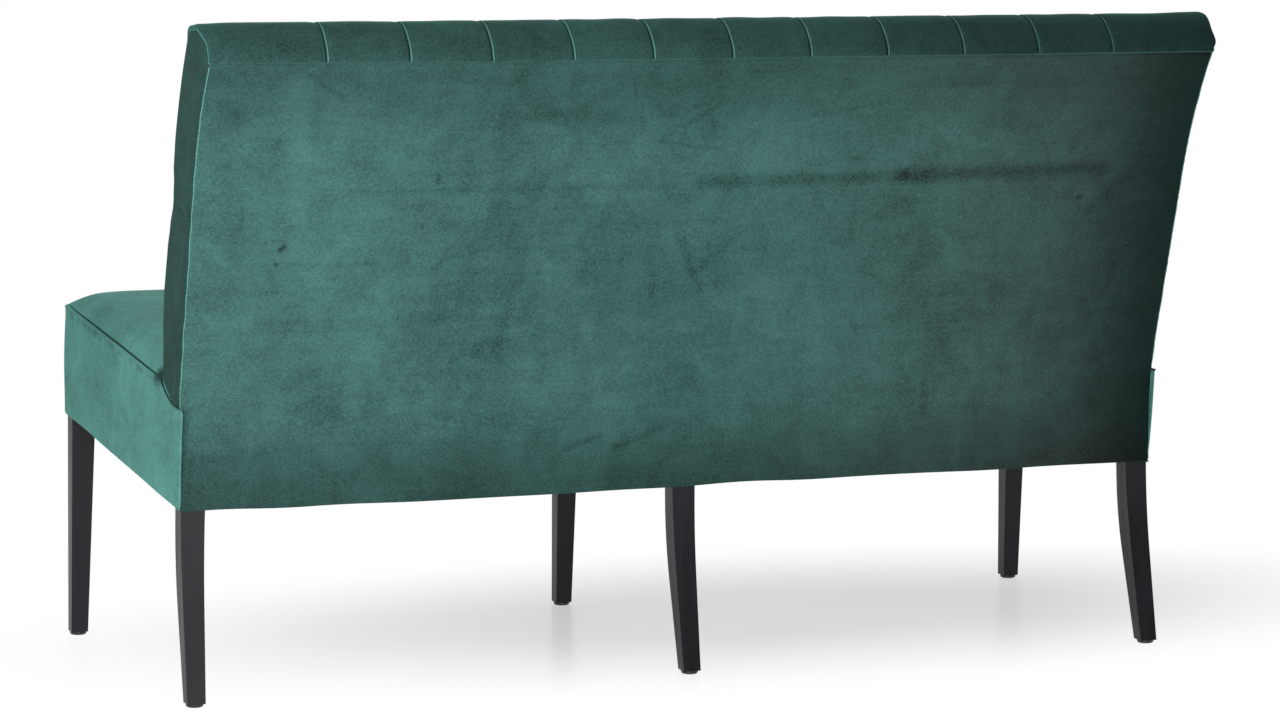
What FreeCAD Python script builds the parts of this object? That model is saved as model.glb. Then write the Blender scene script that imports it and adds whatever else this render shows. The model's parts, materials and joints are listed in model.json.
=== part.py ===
import FreeCAD, Part
import math
import os
from FreeCAD import Vector

os.makedirs("parts", exist_ok=True)

# Dining bench with a deep-buttoned back, six legs and a sloping upholstered seat box.
# Millimetres, +X to the sitter's left, -Y to the front, +Z up, origin on the floor under the middle.
# While it is built, y is counted from the line through the rear feet; the last step centres it.

# Seat box, measured in its own frame: u runs forward along the underside, w square to it
bench_length = 1592.6        # cover to cover at the front of the seat
end_flare = 40.3             # each end of the seat box stands this much wider at the front than at the back
seat_box_depth = 561.0
seat_box_height = 166.0      # underside to the seam of the top cover
seat_tilt = 7.0              # degrees, the seat box rises towards the front
underside_height = 274.6     # at the rear edge
rear_face_y = -30.0          # outside back cover at the seat box
cover_thickness = 3.0
seat_corner_radius = 14.0
seat_crown = 26.0            # of the top cover over its seam
crown_rear_share = 0.55      # crown left where the seat meets the back
crown_run = 250.0            # from the ends of the seat to the full crown
crown_power = 5
seam_lap = 4.0               # the top cover reaches this far below the seam
front_roll_depth = 42.0      # how far behind the front seam the crown is nearly full
front_roll_share = 0.74
roll_reach_share = 0.3       # a point between the front seam and the full crown
roll_rise_share = 0.45
least_bow = 0.05             # keeps flat parts of a section from being straight

# Back, measured along its rear face from the underside up (s) and square to it (depth)
recline_lower = 16.5         # degrees, after the lower bend
recline_upper = 35.0         # degrees, at the top
lower_bend_height = 417.0    # floor to the corner of the lower bend
upper_bend_distance = 420.0  # lower bend corner to upper bend corner
lower_bend_radius = 414.0
upper_bend_radius = 612.0
last_straight = 5.0
back_bottom_s = 152.0        # lower edge of the board and the pad
side_cover_drop = 8.0        # the side covers reach this far below the board
side_belly_share = 0.55      # lowest point of a side cover's rounded end
rail_drop = 48.0             # end of the rear face to the underside of the top rail
outside_cover_thickness = 2.5
lining_thickness = 1.5
stile_depth = 44.0
board_thickness = 5.0
back_foam_thickness = 15.0
side_cover_thickness = 3.6

# Tufted front of the back
button_pitch = 118.0
tuft_margin = 100.0          # an end of the back to the nearest button, at least
row_pitch = 85.0             # along the rear face
middle_row_s = 425.0
button_radius = 11.0
button_height = 8.0
button_foot = 1.5
twine_radius = 1.1
knot_radius = 3.2
knot_height = 4.0
pleat_half_gap = 2.5
button_half_gap = 12.5
crest_height = 43.0          # of the puffs over the flat foam
floor_height = 14.0          # under a button
button_lift = 0.6            # over that floor
halfway_height = 36.0        # of the puffs halfway between two rows
fold_height = 28.0           # halfway along a diagonal fold
row_edge_height = 40.0       # of the side edge, level with the outer rows
cross_edge_height = 25.0     # level with the middle row
halfway_edge_height = 35.0
pad_waist_s = 200.0          # up to here the pad's front is upright behind the seat
pad_waist_height = 31.0
pad_belly_s = 260.0
pad_belly_height = 45.0
pad_neck_rise = 38.0         # from the upper row to the neck
pad_neck_height = 42.0
pad_brow_drop = 32.0         # from the head of the top rail to the brow
pad_brow_height = 39.0       # the roll starts flush with the brow
foot_dip = 2.0               # depths of the vertical pleats
waist_dip = 7.0
belly_dip = 9.0
neck_dip = 10.0
brow_dip = 6.0
roll_dip = 5.0
seam_dip = 4.0
pleat_edge_drop = 1.5        # the side edge lies this much lower than the pleated pad
pad_bow = 0.4                # least bow between two folds
roll_centre_drop = 12.0      # the round top's centre, under the top of the rail
roll_overhang = 1.2          # the roll ends this far behind the outside back
roll_seam_rise = 3.6         # and this far over its upper edge
roll_corner_share = 0.43     # of the roll's turn, up to the rear of the foam's corner
dome_radius_share = 0.93     # shoulder of a button's dome
dome_height_share = 0.62
crown_radius_share = 0.55
crown_height_share = 0.93

# Wood
leg_width = 35.5
front_leg_depth = 32.0
front_foot_width = 25.5
front_foot_depth = 22.5
front_leg_setback = 8.5      # front face behind the inside of the cover
front_leg_splay = 13.0       # the foot stands ahead of the frame by this
rear_leg_depth = 31.0
rear_foot_width = 26.5
rear_foot_depth = 23.0
sabre_sweep = 42.0           # the foot stands behind the frame by this
sabre_knee_height = 219.0
sabre_rear_radius = 769.0
sabre_front_radius = 420.0
sabre_front_knee = 188.0
rear_foot_flare = 3.0        # the outer face leans out by this at the foot
stile_step_low = 300.0       # from here up to the pad the stile deepens
taper_top = 285.0            # the width tapers from here down to the foot
rail_thickness = 22.0
rail_height = 96.0
rail_gap = 0.3               # to the inside of a cover
lower_rail_height = 60.0
lower_rail_lift = 8.0        # over the bottom of the board
top_rail_thickness = 25.0
dowel_radius = 4.0
dowel_length = 30.0
dowel_edge_share = 0.28      # of the rail's height, from its lower and upper edge
corner_block_leg = 105.0
corner_block_height = 28.0
corner_block_lift = 34.0     # over the underside of the rails
screw_radius = 2.2
screw_length = 48.0
screw_head_radius = 4.3
screw_head_height = 3.0
block_screw_share = 0.6      # place of a screw along a corner block's side
screw_bite_share = 0.8       # of the rail's thickness
top_screw_length = 60.0
top_screw_near_share = 0.3   # places of the two screws across the rail
top_screw_far_share = 0.7

# Feet
glide_radius = 12.5
glide_height = 5.0
glide_contact_radius = 9.5
glide_edge_height = 2.2
glide_recess_radius = 5.0
glide_recess_depth = 1.6
nail_radius = 1.2
nail_head_radius = 4.2
nail_head_height = 1.2
nail_length = 17.0

# Seat filling
hem_thickness = 1.2
hem_width = 25.0
dust_cover_thickness = 0.8
dust_cover_inset = 12.0
strap_width = 60.0
strap_thickness = 1.8
cross_straps_per_half = 6
long_straps = 4
tack_strip_width = 12.0

# Fits
slip = 0.3                   # between soft pieces and their neighbours
hole_clearance = 0.2
overrun = 50.0               # of every cutting body
plenty = 3000.0              # reach of a half space

tilt_radians = math.radians(seat_tilt)
tilt_sin = math.sin(tilt_radians)
tilt_cos = math.cos(tilt_radians)
half_front = bench_length / 2
half_rear = half_front - end_flare
upper_row_count = math.floor(2 * (half_rear - tuft_margin) / button_pitch)
rail_base = hem_thickness + hole_clearance
rail_top = rail_base + rail_height
stile_rear = outside_cover_thickness + lining_thickness
stile_front = stile_rear + stile_depth
board_front = stile_front + board_thickness
pad_base = board_front + back_foam_thickness
rear_leg_outer = half_rear - side_cover_thickness - hole_clearance
front_leg_outer = half_front - cover_thickness - hole_clearance - rail_gap
pad_crest = pad_base + crest_height


# Small builders

def line(a, b):
    return Part.LineSegment(a, b).toShape()


def arc(a, middle, b):
    return Part.Arc(a, middle, b).toShape()


def at_x(x, point):
    return Vector(x, point[0], point[1])


def solid_from(edges, direction):
    return Part.Face(Part.Wire(edges)).extrude(direction)


def polygon_edges(corners):
    return [line(a, b) for a, b in zip(corners, corners[1:] + corners[:1])]


def rounded_chain(corners, radii):
    """Edges through corners, with an arc of the given radius at each inner corner."""
    edges = []
    start = corners[0]
    for before, corner, after, radius in zip(corners, corners[1:], corners[2:], radii):
        inward = (before - corner).normalize()
        outward = (after - corner).normalize()
        half_angle = inward.getAngle(outward) / 2
        reach = radius / math.tan(half_angle)
        first = corner + inward * reach
        last = corner + outward * reach
        bisector = (inward + outward).normalize()
        crown = corner + bisector * (radius / math.sin(half_angle) - radius)
        edges.append(line(start, first))
        edges.append(arc(first, crown, last))
        start = last
    edges.append(line(start, corners[-1]))
    return edges


def seat_y(u, w):
    return rear_face_y - u * tilt_cos + w * tilt_sin


def seat_z(u, w):
    return underside_height + u * tilt_sin + w * tilt_cos


def into_seat(shape):
    """Puts a shape drawn with y = -u and z = w into the tilted seat box."""
    shape.rotate(Vector(0, 0, 0), Vector(1, 0, 0), -seat_tilt)
    shape.translate(Vector(0, rear_face_y, underside_height))
    return shape


def half_width(u):
    """Half the width of the seat box, which widens to the front."""
    return half_rear + end_flare * u / seat_box_depth


def plan_prism(corners, low, high):
    """A block of the seat box from corners (x, u), between two heights."""
    points = [Vector(x, -u, low) for x, u in corners]
    return into_seat(solid_from(polygon_edges(points), Vector(0, 0, high - low)))


def cylinder(radius, start, direction, length):
    return Part.makeCylinder(radius, length, start, direction)


def turned(profile, start, direction):
    """A solid of revolution from (radius, distance) corners, standing on start."""
    points = [Vector(radius, 0, distance) for radius, distance in profile]
    body = Part.Face(Part.Wire(polygon_edges(points))).revolve(Vector(0, 0, 0), Vector(0, 0, 1), 360)
    body.Placement = FreeCAD.Placement(start, FreeCAD.Rotation(Vector(0, 0, 1), direction))
    return body


def group(solids):
    return Part.makeCompound(solids)


def mirrored(shape):
    return shape.mirror(Vector(0, 0, 0), Vector(1, 0, 0))


# The curve that the whole back follows

lower_turn = math.radians(recline_lower)
upper_turn = math.radians(recline_upper - recline_lower)
lower_reach = lower_bend_radius * math.tan(lower_turn / 2)
upper_reach = upper_bend_radius * math.tan(upper_turn / 2)
curve_pieces = [
    (lower_bend_height - underside_height - lower_reach, None),
    (lower_bend_radius * lower_turn, lower_bend_radius),
    (upper_bend_distance - lower_reach - upper_reach, None),
    (upper_bend_radius * upper_turn, upper_bend_radius),
    (plenty, None),
]
curve_breaks = [0.0]
for piece_length, _ in curve_pieces[:-1]:
    curve_breaks.append(curve_breaks[-1] + piece_length)
curve_end = curve_breaks[-1] + last_straight
rail_foot_s = curve_end - rail_drop
rail_head_s = rail_foot_s + top_rail_thickness


def back_frame(s):
    """Point and recline angle at distance s along the outside back."""
    y, z, angle = rear_face_y, underside_height, 0.0
    for start, (length, radius) in zip(curve_breaks, curve_pieces):
        run = min(s - start, length)
        if run <= 0:
            break
        if radius is None:
            y += run * math.sin(angle)
            z += run * math.cos(angle)
        else:
            turn = run / radius
            y += radius * (math.cos(angle) - math.cos(angle + turn))
            z += radius * (math.sin(angle + turn) - math.sin(angle))
            angle += turn
    return y, z, angle


def back_point(s, depth):
    """(y, z) at distance s along the back and depth in front of its rear face."""
    y, z, angle = back_frame(s)
    return y - depth * math.cos(angle), z + depth * math.sin(angle)


def back_edges(start, end, depth, x):
    """The back's curve at one depth, as lines and arcs from start to end."""
    stops = [s for s in curve_breaks if min(start, end) < s < max(start, end)]
    stops = [start] + sorted(stops, reverse=start > end) + [end]
    edges = []
    for a, b in zip(stops, stops[1:]):
        first, last = at_x(x, back_point(a, depth)), at_x(x, back_point(b, depth))
        middle = at_x(x, back_point((a + b) / 2, depth))
        straight = math.isclose(back_frame(a)[2], back_frame(b)[2])
        edges.append(line(first, last) if straight else arc(first, middle, last))
    return edges


def back_strip(start, end, near, far, x_low, x_high):
    """A sheet or board that follows the back between two depths."""
    edges = back_edges(start, end, near, x_low)
    edges.append(line(at_x(x_low, back_point(end, near)), at_x(x_low, back_point(end, far))))
    edges += back_edges(end, start, far, x_low)
    edges.append(line(at_x(x_low, back_point(start, far)), at_x(x_low, back_point(start, near))))
    return solid_from(edges, Vector(x_high - x_low, 0, 0))


head_y, head_z = back_point(rail_head_s, board_front)
head_angle = back_frame(rail_head_s)[2]


def head_point(behind, above, x=0.0):
    """A point over the top rail, from the upper front corner of the board."""
    y = head_y + behind * math.cos(head_angle) + above * math.sin(head_angle)
    z = head_z - behind * math.sin(head_angle) + above * math.cos(head_angle)
    return Vector(x, y, z)


# Legs

frame_u_front = seat_box_depth - cover_thickness - front_leg_setback
front_leg_y = seat_y(frame_u_front, 0)
front_leg_z = seat_z(frame_u_front, 0)


def rectangle(x_low, x_high, y_front, depth, z):
    corners = [Vector(x_low, y_front, z), Vector(x_high, y_front, z),
               Vector(x_high, y_front + depth, z), Vector(x_low, y_front + depth, z)]
    return Part.Wire(polygon_edges(corners))


def front_leg(x_low, x_high, foot_low, foot_high):
    """Straight tapered leg; its top runs up between the rails to their upper edges."""
    lean = front_leg_splay / (front_leg_z - glide_height)
    above = rail_top + overrun
    low = Part.makeLoft([
        rectangle(foot_low, foot_high, front_leg_y - front_leg_splay, front_foot_depth, glide_height),
        rectangle(x_low, x_high, front_leg_y, front_leg_depth, front_leg_z)], True, True)
    high = Part.makeLoft([
        rectangle(x_low, x_high, front_leg_y, front_leg_depth, front_leg_z),
        rectangle(x_low, x_high, front_leg_y + lean * above, front_leg_depth, front_leg_z + above)],
        True, True)
    return low.fuse(high).cut(above_rails()).removeSplitter()


def above_rails():
    return plan_prism([(-plenty, -plenty), (plenty, -plenty), (plenty, plenty), (-plenty, plenty)],
                      rail_top, rail_top + plenty)


def rear_leg_side(x):
    """Side outline of the rear leg: sabre foot, then the stile along the back."""
    rear_y = rear_face_y - stile_rear
    front_y = rear_y - rear_leg_depth
    foot_rear = rear_y + sabre_sweep
    foot_front = foot_rear - rear_foot_depth
    bend_s = curve_breaks[1]
    rear_corners = [(foot_rear, glide_height), (rear_y, sabre_knee_height),
                    back_point(bend_s, stile_rear)]
    step_top = back_point(back_bottom_s, stile_front)
    front_corners = [step_top, (front_y, stile_step_low), (front_y, sabre_front_knee),
                     (foot_front, glide_height)]
    edges = rounded_chain([at_x(x, p) for p in rear_corners], [sabre_rear_radius])
    edges += back_edges(bend_s, rail_foot_s, stile_rear, x)
    edges.append(line(at_x(x, back_point(rail_foot_s, stile_rear)),
                      at_x(x, back_point(rail_foot_s, stile_front))))
    edges += back_edges(rail_foot_s, back_bottom_s, stile_front, x)
    edges += rounded_chain([at_x(x, p) for p in front_corners],
                           [sabre_front_radius, sabre_front_radius])
    edges.append(line(at_x(x, front_corners[-1]), at_x(x, rear_corners[0])))
    return edges


def rear_leg(x_low, x_high, foot_low, foot_high):
    """The side outline, tapered in its width below the seat box."""
    across = solid_from(rear_leg_side(-plenty), Vector(2 * plenty, 0, 0))
    top = plenty
    outline = [Vector(foot_low, -plenty, glide_height), Vector(foot_high, -plenty, glide_height),
               Vector(x_high, -plenty, taper_top), Vector(x_high, -plenty, top),
               Vector(x_low, -plenty, top), Vector(x_low, -plenty, taper_top)]
    return across.common(solid_from(polygon_edges(outline), Vector(0, 2 * plenty, 0)))


front_foot_outer = front_leg_outer
rear_foot_outer = rear_leg_outer + rear_foot_flare
front_leg_inner = front_leg_outer - leg_width
rear_leg_inner = rear_leg_outer - leg_width
front_leg_left = front_leg(front_leg_inner, front_leg_outer,
                           front_foot_outer - front_foot_width, front_foot_outer)
front_leg_middle = front_leg(-leg_width / 2, leg_width / 2, -front_foot_width / 2, front_foot_width / 2)
rear_leg_left = rear_leg(rear_leg_inner, rear_leg_outer,
                         rear_foot_outer - rear_foot_width, rear_foot_outer)
rear_leg_middle = rear_leg(-leg_width / 2, leg_width / 2, -rear_foot_width / 2, rear_foot_width / 2)
front_leg_wide = front_leg(-plenty, plenty, -plenty, plenty)
rear_leg_wide = solid_from(rear_leg_side(-plenty), Vector(2 * plenty, 0, 0))
front_foot_y = front_leg_y - front_leg_splay + front_foot_depth / 2
rear_foot_y = rear_face_y - stile_rear + sabre_sweep - rear_foot_depth / 2
feet = {
    "front_left": (front_foot_outer - front_foot_width / 2, front_foot_y),
    "front_middle": (0.0, front_foot_y),
    "front_right": (-(front_foot_outer - front_foot_width / 2), front_foot_y),
    "rear_left": (rear_foot_outer - rear_foot_width / 2, rear_foot_y),
    "rear_middle": (0.0, rear_foot_y),
    "rear_right": (-(rear_foot_outer - rear_foot_width / 2), rear_foot_y),
}


# Rails of the seat frame and the back

rail_u_front = seat_box_depth - cover_thickness - rail_gap
rail_u_rear = rail_u_front - rail_thickness
front_rail_left = plan_prism([(leg_width / 2, rail_u_rear), (front_leg_inner, rail_u_rear),
                              (front_leg_inner, rail_u_front), (leg_width / 2, rail_u_front)],
                             rail_base, rail_top)
rear_rail_y = rear_face_y - stile_rear


def rear_rail(x_low, x_high):
    """Upright board whose edges lie in the planes of the tilted frame."""
    corners = []
    for y, w in ((rear_rail_y, rail_base), (rear_rail_y, rail_top),
                 (rear_rail_y - rail_thickness, rail_top), (rear_rail_y - rail_thickness, rail_base)):
        u = (rear_face_y - y + w * tilt_sin) / tilt_cos
        corners.append(Vector(x_low, y, seat_z(u, w)))
    return solid_from(polygon_edges(corners), Vector(x_high - x_low, 0, 0))


def end_line(u, inset):
    return half_width(u) - inset


rear_rail_left = rear_rail(leg_width / 2, rear_leg_inner)
end_outer = cover_thickness + rail_gap
end_u_low = (rear_leg_depth + stile_rear) / 2
end_u_high = frame_u_front - front_leg_depth / 2
end_rail_left = plan_prism([
    (end_line(end_u_low, end_outer + rail_thickness), end_u_low),
    (end_line(end_u_low, end_outer), end_u_low),
    (end_line(end_u_high, end_outer), end_u_high),
    (end_line(end_u_high, end_outer + rail_thickness), end_u_high)], rail_base, rail_top)
end_rail_left = end_rail_left.cut(front_leg_wide).cut(rear_leg_wide)
middle_cross_rail = plan_prism([(-rail_thickness / 2, end_u_low), (rail_thickness / 2, end_u_low),
                                (rail_thickness / 2, end_u_high), (-rail_thickness / 2, end_u_high)],
                               rail_base, rail_top)
middle_cross_rail = middle_cross_rail.cut(front_leg_wide).cut(rear_leg_wide)
lower_rail_s = back_bottom_s + lower_rail_lift
back_lower_rail_left = back_strip(lower_rail_s, lower_rail_s + lower_rail_height,
                                  stile_front - rail_thickness, stile_front,
                                  leg_width / 2, rear_leg_inner)
back_top_rail = back_strip(rail_foot_s, rail_head_s, stile_rear, stile_front,
                           -rear_leg_outer, rear_leg_outer)

# Dowels: two in each joint, half in the rail and half in the leg

dowel_heights = [rail_base + rail_height * dowel_edge_share, rail_top - rail_height * dowel_edge_share]
left_dowels = []
middle_dowels = []


def add_dowel(x, y, z, direction, home):
    along = Vector(direction).normalize()
    home.append(cylinder(dowel_radius, Vector(x, y, z) - along * (dowel_length / 2), along, dowel_length))


def seat_place(u, w):
    return seat_y(u, w), seat_z(u, w)


front_dowel_u = (rail_u_rear + frame_u_front) / 2
rear_dowel_y = rear_rail_y - rail_thickness / 2
end_slope = end_flare / seat_box_depth
end_direction = Vector(end_slope, -tilt_cos, tilt_sin)
cross_direction = Vector(0, -tilt_cos, tilt_sin)
for w in dowel_heights:
    y, z = seat_place(front_dowel_u, w)
    for x in (leg_width / 2, front_leg_inner):
        add_dowel(x, y, z, Vector(1, 0, 0), left_dowels)
    rear_u = (rear_face_y - rear_dowel_y + w * tilt_sin) / tilt_cos
    for x in (leg_width / 2, rear_leg_inner):
        add_dowel(x, rear_dowel_y, seat_z(rear_u, w), Vector(1, 0, 0), left_dowels)
    leg_back_u = frame_u_front - front_leg_depth + w * tilt_sin - w * front_leg_splay / front_leg_z
    leg_front_u = rear_leg_depth + stile_rear + w * tilt_sin
    for u in (leg_back_u, leg_front_u):
        y, z = seat_place(u, w)
        add_dowel(end_line(u, end_outer + rail_thickness / 2), y, z, end_direction, left_dowels)
        add_dowel(0.0, y, z, cross_direction, middle_dowels)
for share in (dowel_edge_share, 1 - dowel_edge_share):
    y, z = back_point(lower_rail_s + lower_rail_height * share, stile_front - rail_thickness / 2)
    for x in (leg_width / 2, rear_leg_inner):
        add_dowel(x, y, z, Vector(1, 0, 0), left_dowels)
frame_dowels = group(left_dowels + [mirrored(d) for d in left_dowels] + middle_dowels)

# Corner blocks behind the legs, each held by two screws

block_low = rail_base + corner_block_lift
block_high = block_low + corner_block_height
block_u_front = rail_u_rear
block_x_front = end_line(block_u_front, end_outer + rail_thickness)


def corner_block_front():
    block = plan_prism([(block_x_front + rail_thickness, block_u_front),
                        (block_x_front - corner_block_leg, block_u_front),
                        (block_x_front + rail_thickness, block_u_front - corner_block_leg - rail_thickness)],
                       block_low, block_high)
    return block.cut(front_leg_left).cut(end_rail_left).cut(front_rail_left)


def corner_block_rear():
    u_rear = rail_thickness + stile_rear
    x_end = end_line(u_rear, end_outer + rail_thickness)
    block = plan_prism([(x_end + rail_thickness, u_rear), (x_end - corner_block_leg, u_rear),
                        (x_end - corner_block_leg, u_rear + rail_thickness / 2),
                        (x_end + rail_thickness, u_rear + corner_block_leg + rail_thickness)],
                       block_low, block_high)
    return block.cut(rear_leg_left).cut(end_rail_left).cut(rear_rail_left)


def largest(shape):
    return max(shape.Solids, key=lambda solid: solid.Volume)


block_front_left = largest(corner_block_front())
block_rear_left = largest(corner_block_rear())
screw_profile = [(0, 0), (screw_head_radius, 0), (screw_head_radius, screw_head_height),
                 (screw_radius, screw_head_height + screw_head_radius - screw_radius),
                 (screw_radius, screw_length), (0, screw_length)]
block_w = (block_low + block_high) / 2


def block_screw(x, u, direction):
    """A countersunk screw whose head sits below the block's slanting face."""
    y, z = seat_place(u, block_w)
    start = Vector(x, y, z)
    body = turned(screw_profile, start, direction)
    access = cylinder(screw_head_radius + slip, start - Vector(direction).normalize() * corner_block_leg,
                      direction, corner_block_leg)
    return body, access


toward_front = Vector(0, -tilt_cos, tilt_sin)
toward_rear = Vector(0, tilt_cos, -tilt_sin)
grip = screw_length - rail_thickness * screw_bite_share
front_screw_x = block_x_front - corner_block_leg * block_screw_share
end_screw_drop = corner_block_leg * block_screw_share
front_end_u = block_u_front - end_screw_drop
front_screws = [
    block_screw(front_screw_x, block_u_front - grip, toward_front),
    block_screw(end_line(front_end_u, end_outer + rail_thickness) - grip, front_end_u, Vector(1, 0, 0)),
]
rear_wall_u = (rail_thickness + stile_rear + block_w * tilt_sin) / tilt_cos
rear_end_u = rear_wall_u + end_screw_drop
rear_screws = [
    block_screw(front_screw_x - end_flare, rear_wall_u + grip, toward_rear),
    block_screw(end_line(rear_end_u, end_outer + rail_thickness) - grip, rear_end_u, Vector(1, 0, 0)),
]
left_screws = [body for body, _ in front_screws + rear_screws]
corner_block_screws = group(left_screws + [mirrored(s) for s in left_screws])
for body, access in front_screws:
    block_front_left = block_front_left.cut(body).cut(access)
for body, access in rear_screws:
    block_rear_left = block_rear_left.cut(body).cut(access)
corner_blocks = group([block_front_left, block_rear_left,
                       mirrored(block_front_left), mirrored(block_rear_left)])

# Screws that hold the top rail down on the stiles

top_screw_profile = [(0, 0), (screw_head_radius, 0),
                     (screw_radius, screw_head_radius - screw_radius),
                     (screw_radius, top_screw_length), (0, top_screw_length)]
down_the_stile = Vector(0, -math.sin(head_angle), -math.cos(head_angle))
top_screws = []
for x in (rear_leg_outer - leg_width / 2, 0.0, -rear_leg_outer + leg_width / 2):
    for share in (top_screw_near_share, top_screw_far_share):
        seat = at_x(x, back_point(rail_head_s, stile_rear + stile_depth * share))
        top_screws.append(turned(top_screw_profile, seat, down_the_stile))
top_rail_screws = group(top_screws)

# Glides and their nails

nail_profile = [(0, 0), (nail_head_radius, 0), (nail_head_radius, nail_head_height),
                (nail_radius, nail_head_height), (nail_radius, nail_length), (0, nail_length)]
nail_base = glide_recess_depth - nail_head_height


def glide(x, y):
    """Domed plastic pad with a flat contact ring and a recess for the nail's head."""
    edges = polygon_edges([
        Vector(0, 0, glide_recess_depth), Vector(glide_recess_radius, 0, glide_recess_depth),
        Vector(glide_recess_radius, 0, 0), Vector(glide_contact_radius, 0, 0),
        Vector(glide_radius, 0, glide_edge_height), Vector(glide_radius, 0, glide_height),
        Vector(0, 0, glide_height)])
    bulge = Vector((glide_contact_radius + 2 * glide_radius) / 3, 0, glide_edge_height / 3)
    edges[3] = arc(Vector(glide_contact_radius, 0, 0), bulge, Vector(glide_radius, 0, glide_edge_height))
    pad = Part.Face(Part.Wire(edges)).revolve(Vector(0, 0, 0), Vector(0, 0, 1), 360)
    pad.translate(Vector(x, y, 0))
    return pad


nails = [turned(nail_profile, Vector(x, y, nail_base), Vector(0, 0, 1)) for x, y in feet.values()]
glide_nails = group(nails)

# Back board, flat foam, tack strip, lining and outside cover

button_rows = {
    "upper": (middle_row_s + row_pitch, upper_row_count),
    "middle": (middle_row_s, upper_row_count + 1),
    "lower": (middle_row_s - row_pitch, upper_row_count),
}


def row_places(count):
    return [button_pitch * (index - (count - 1) / 2) for index in range(count)]


def button_axis(s):
    """Direction from the board out through a button."""
    angle = back_frame(s)[2]
    return Vector(0, -math.cos(angle), math.sin(angle))


pad_front_y = back_point(pad_waist_s, pad_base + pad_waist_height)[0]


def through_holes(radius, near, far):
    holes = []
    for s, count in button_rows.values():
        for x in row_places(count):
            start = at_x(x, back_point(s, near))
            holes.append(cylinder(radius, start, button_axis(s), far - near))
    return holes


twine_hole = twine_radius + hole_clearance
back_board = back_strip(back_bottom_s, rail_head_s, stile_front, board_front,
                        -rear_leg_outer, rear_leg_outer)
back_board = back_board.cut(through_holes(twine_hole, stile_front - overrun, board_front + overrun))


def back_foam_body():
    x = -rear_leg_outer
    rear = board_front - stile_rear
    diagonal = back_foam_thickness * math.cos(math.radians(45))
    edges = back_edges(back_bottom_s, rail_head_s, board_front, x)
    edges.append(line(head_point(0, 0, x), head_point(rear, 0, x)))
    edges.append(line(head_point(rear, 0, x), head_point(rear, back_foam_thickness, x)))
    edges.append(line(head_point(rear, back_foam_thickness, x), head_point(0, back_foam_thickness, x)))
    edges.append(arc(head_point(0, back_foam_thickness, x), head_point(-diagonal, diagonal, x),
                     head_point(-back_foam_thickness, 0, x)))
    edges += back_edges(rail_head_s, back_bottom_s, pad_base, x)
    edges.append(line(at_x(x, back_point(back_bottom_s, pad_base)),
                      at_x(x, back_point(back_bottom_s, board_front))))
    return solid_from(edges, Vector(2 * rear_leg_outer, 0, 0))


back_foam = back_foam_body().cut(through_holes(twine_hole, board_front - overrun, pad_base + overrun))
outside_back_cover = back_strip(0, curve_end, 0, outside_cover_thickness, -half_rear, half_rear)
outside_back_lining = back_strip(rail_top, rail_head_s, outside_cover_thickness, stile_rear,
                                 -rear_leg_outer, rear_leg_outer)
back_tack_strip = back_strip(rail_head_s + hole_clearance, rail_head_s + tack_strip_width,
                             outside_cover_thickness, stile_rear - hole_clearance,
                             -rear_leg_outer, rear_leg_outer)

# Side covers of the back, rounded at their lower ends

top_run = board_front
side_bottom_s = back_bottom_s - side_cover_drop


def side_outline(x, grow):
    """Outline of the back seen from the end, from the rear seam over the top and down to the pad."""
    front = pad_base + grow
    thickness = back_foam_thickness + grow
    diagonal = thickness * math.cos(math.radians(45))
    edges = back_edges(side_bottom_s, curve_end + grow, -grow, x)
    corners = [at_x(x, back_point(curve_end + grow, -grow)),
               at_x(x, back_point(curve_end + grow, outside_cover_thickness + grow)),
               head_point(top_run - stile_rear, thickness, x), head_point(0, thickness, x)]
    edges += [line(a, b) for a, b in zip(corners, corners[1:])]
    edges.append(arc(head_point(0, thickness, x), head_point(-diagonal, diagonal, x),
                     at_x(x, back_point(rail_head_s, front))))
    edges += back_edges(rail_head_s, back_bottom_s, front, x)
    edges.append(arc(at_x(x, back_point(back_bottom_s, front)),
                     at_x(x, back_point(side_bottom_s - grow, pad_base * side_belly_share)),
                     at_x(x, back_point(side_bottom_s, -grow))))
    return edges


back_side_cover_left = solid_from(side_outline(rear_leg_outer + hole_clearance, 0.0),
                                  Vector(side_cover_thickness, 0, 0))
back_side_cover_left = back_side_cover_left.cut(outside_back_cover)

# Tufted front: closed sections across the bench, joined by ruled faces.
# Each section has one pair of folds per button of the upper row; the pairs part between the rows.
# Columns: half gap of a pair, height of the puff inside a pair, of a fold, of the puff between
# pairs, and of the side edge.

row_section = (button_half_gap, floor_height, floor_height, crest_height, row_edge_height)
cross_section = (button_pitch / 2 - button_half_gap, crest_height, floor_height, floor_height,
                 cross_edge_height)
halfway_section = (button_pitch / 4, halfway_height, fold_height, halfway_height, halfway_edge_height)


def pleat_section(height, dip):
    return (pleat_half_gap, height - dip, height - dip, height, height - pleat_edge_drop)


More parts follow.
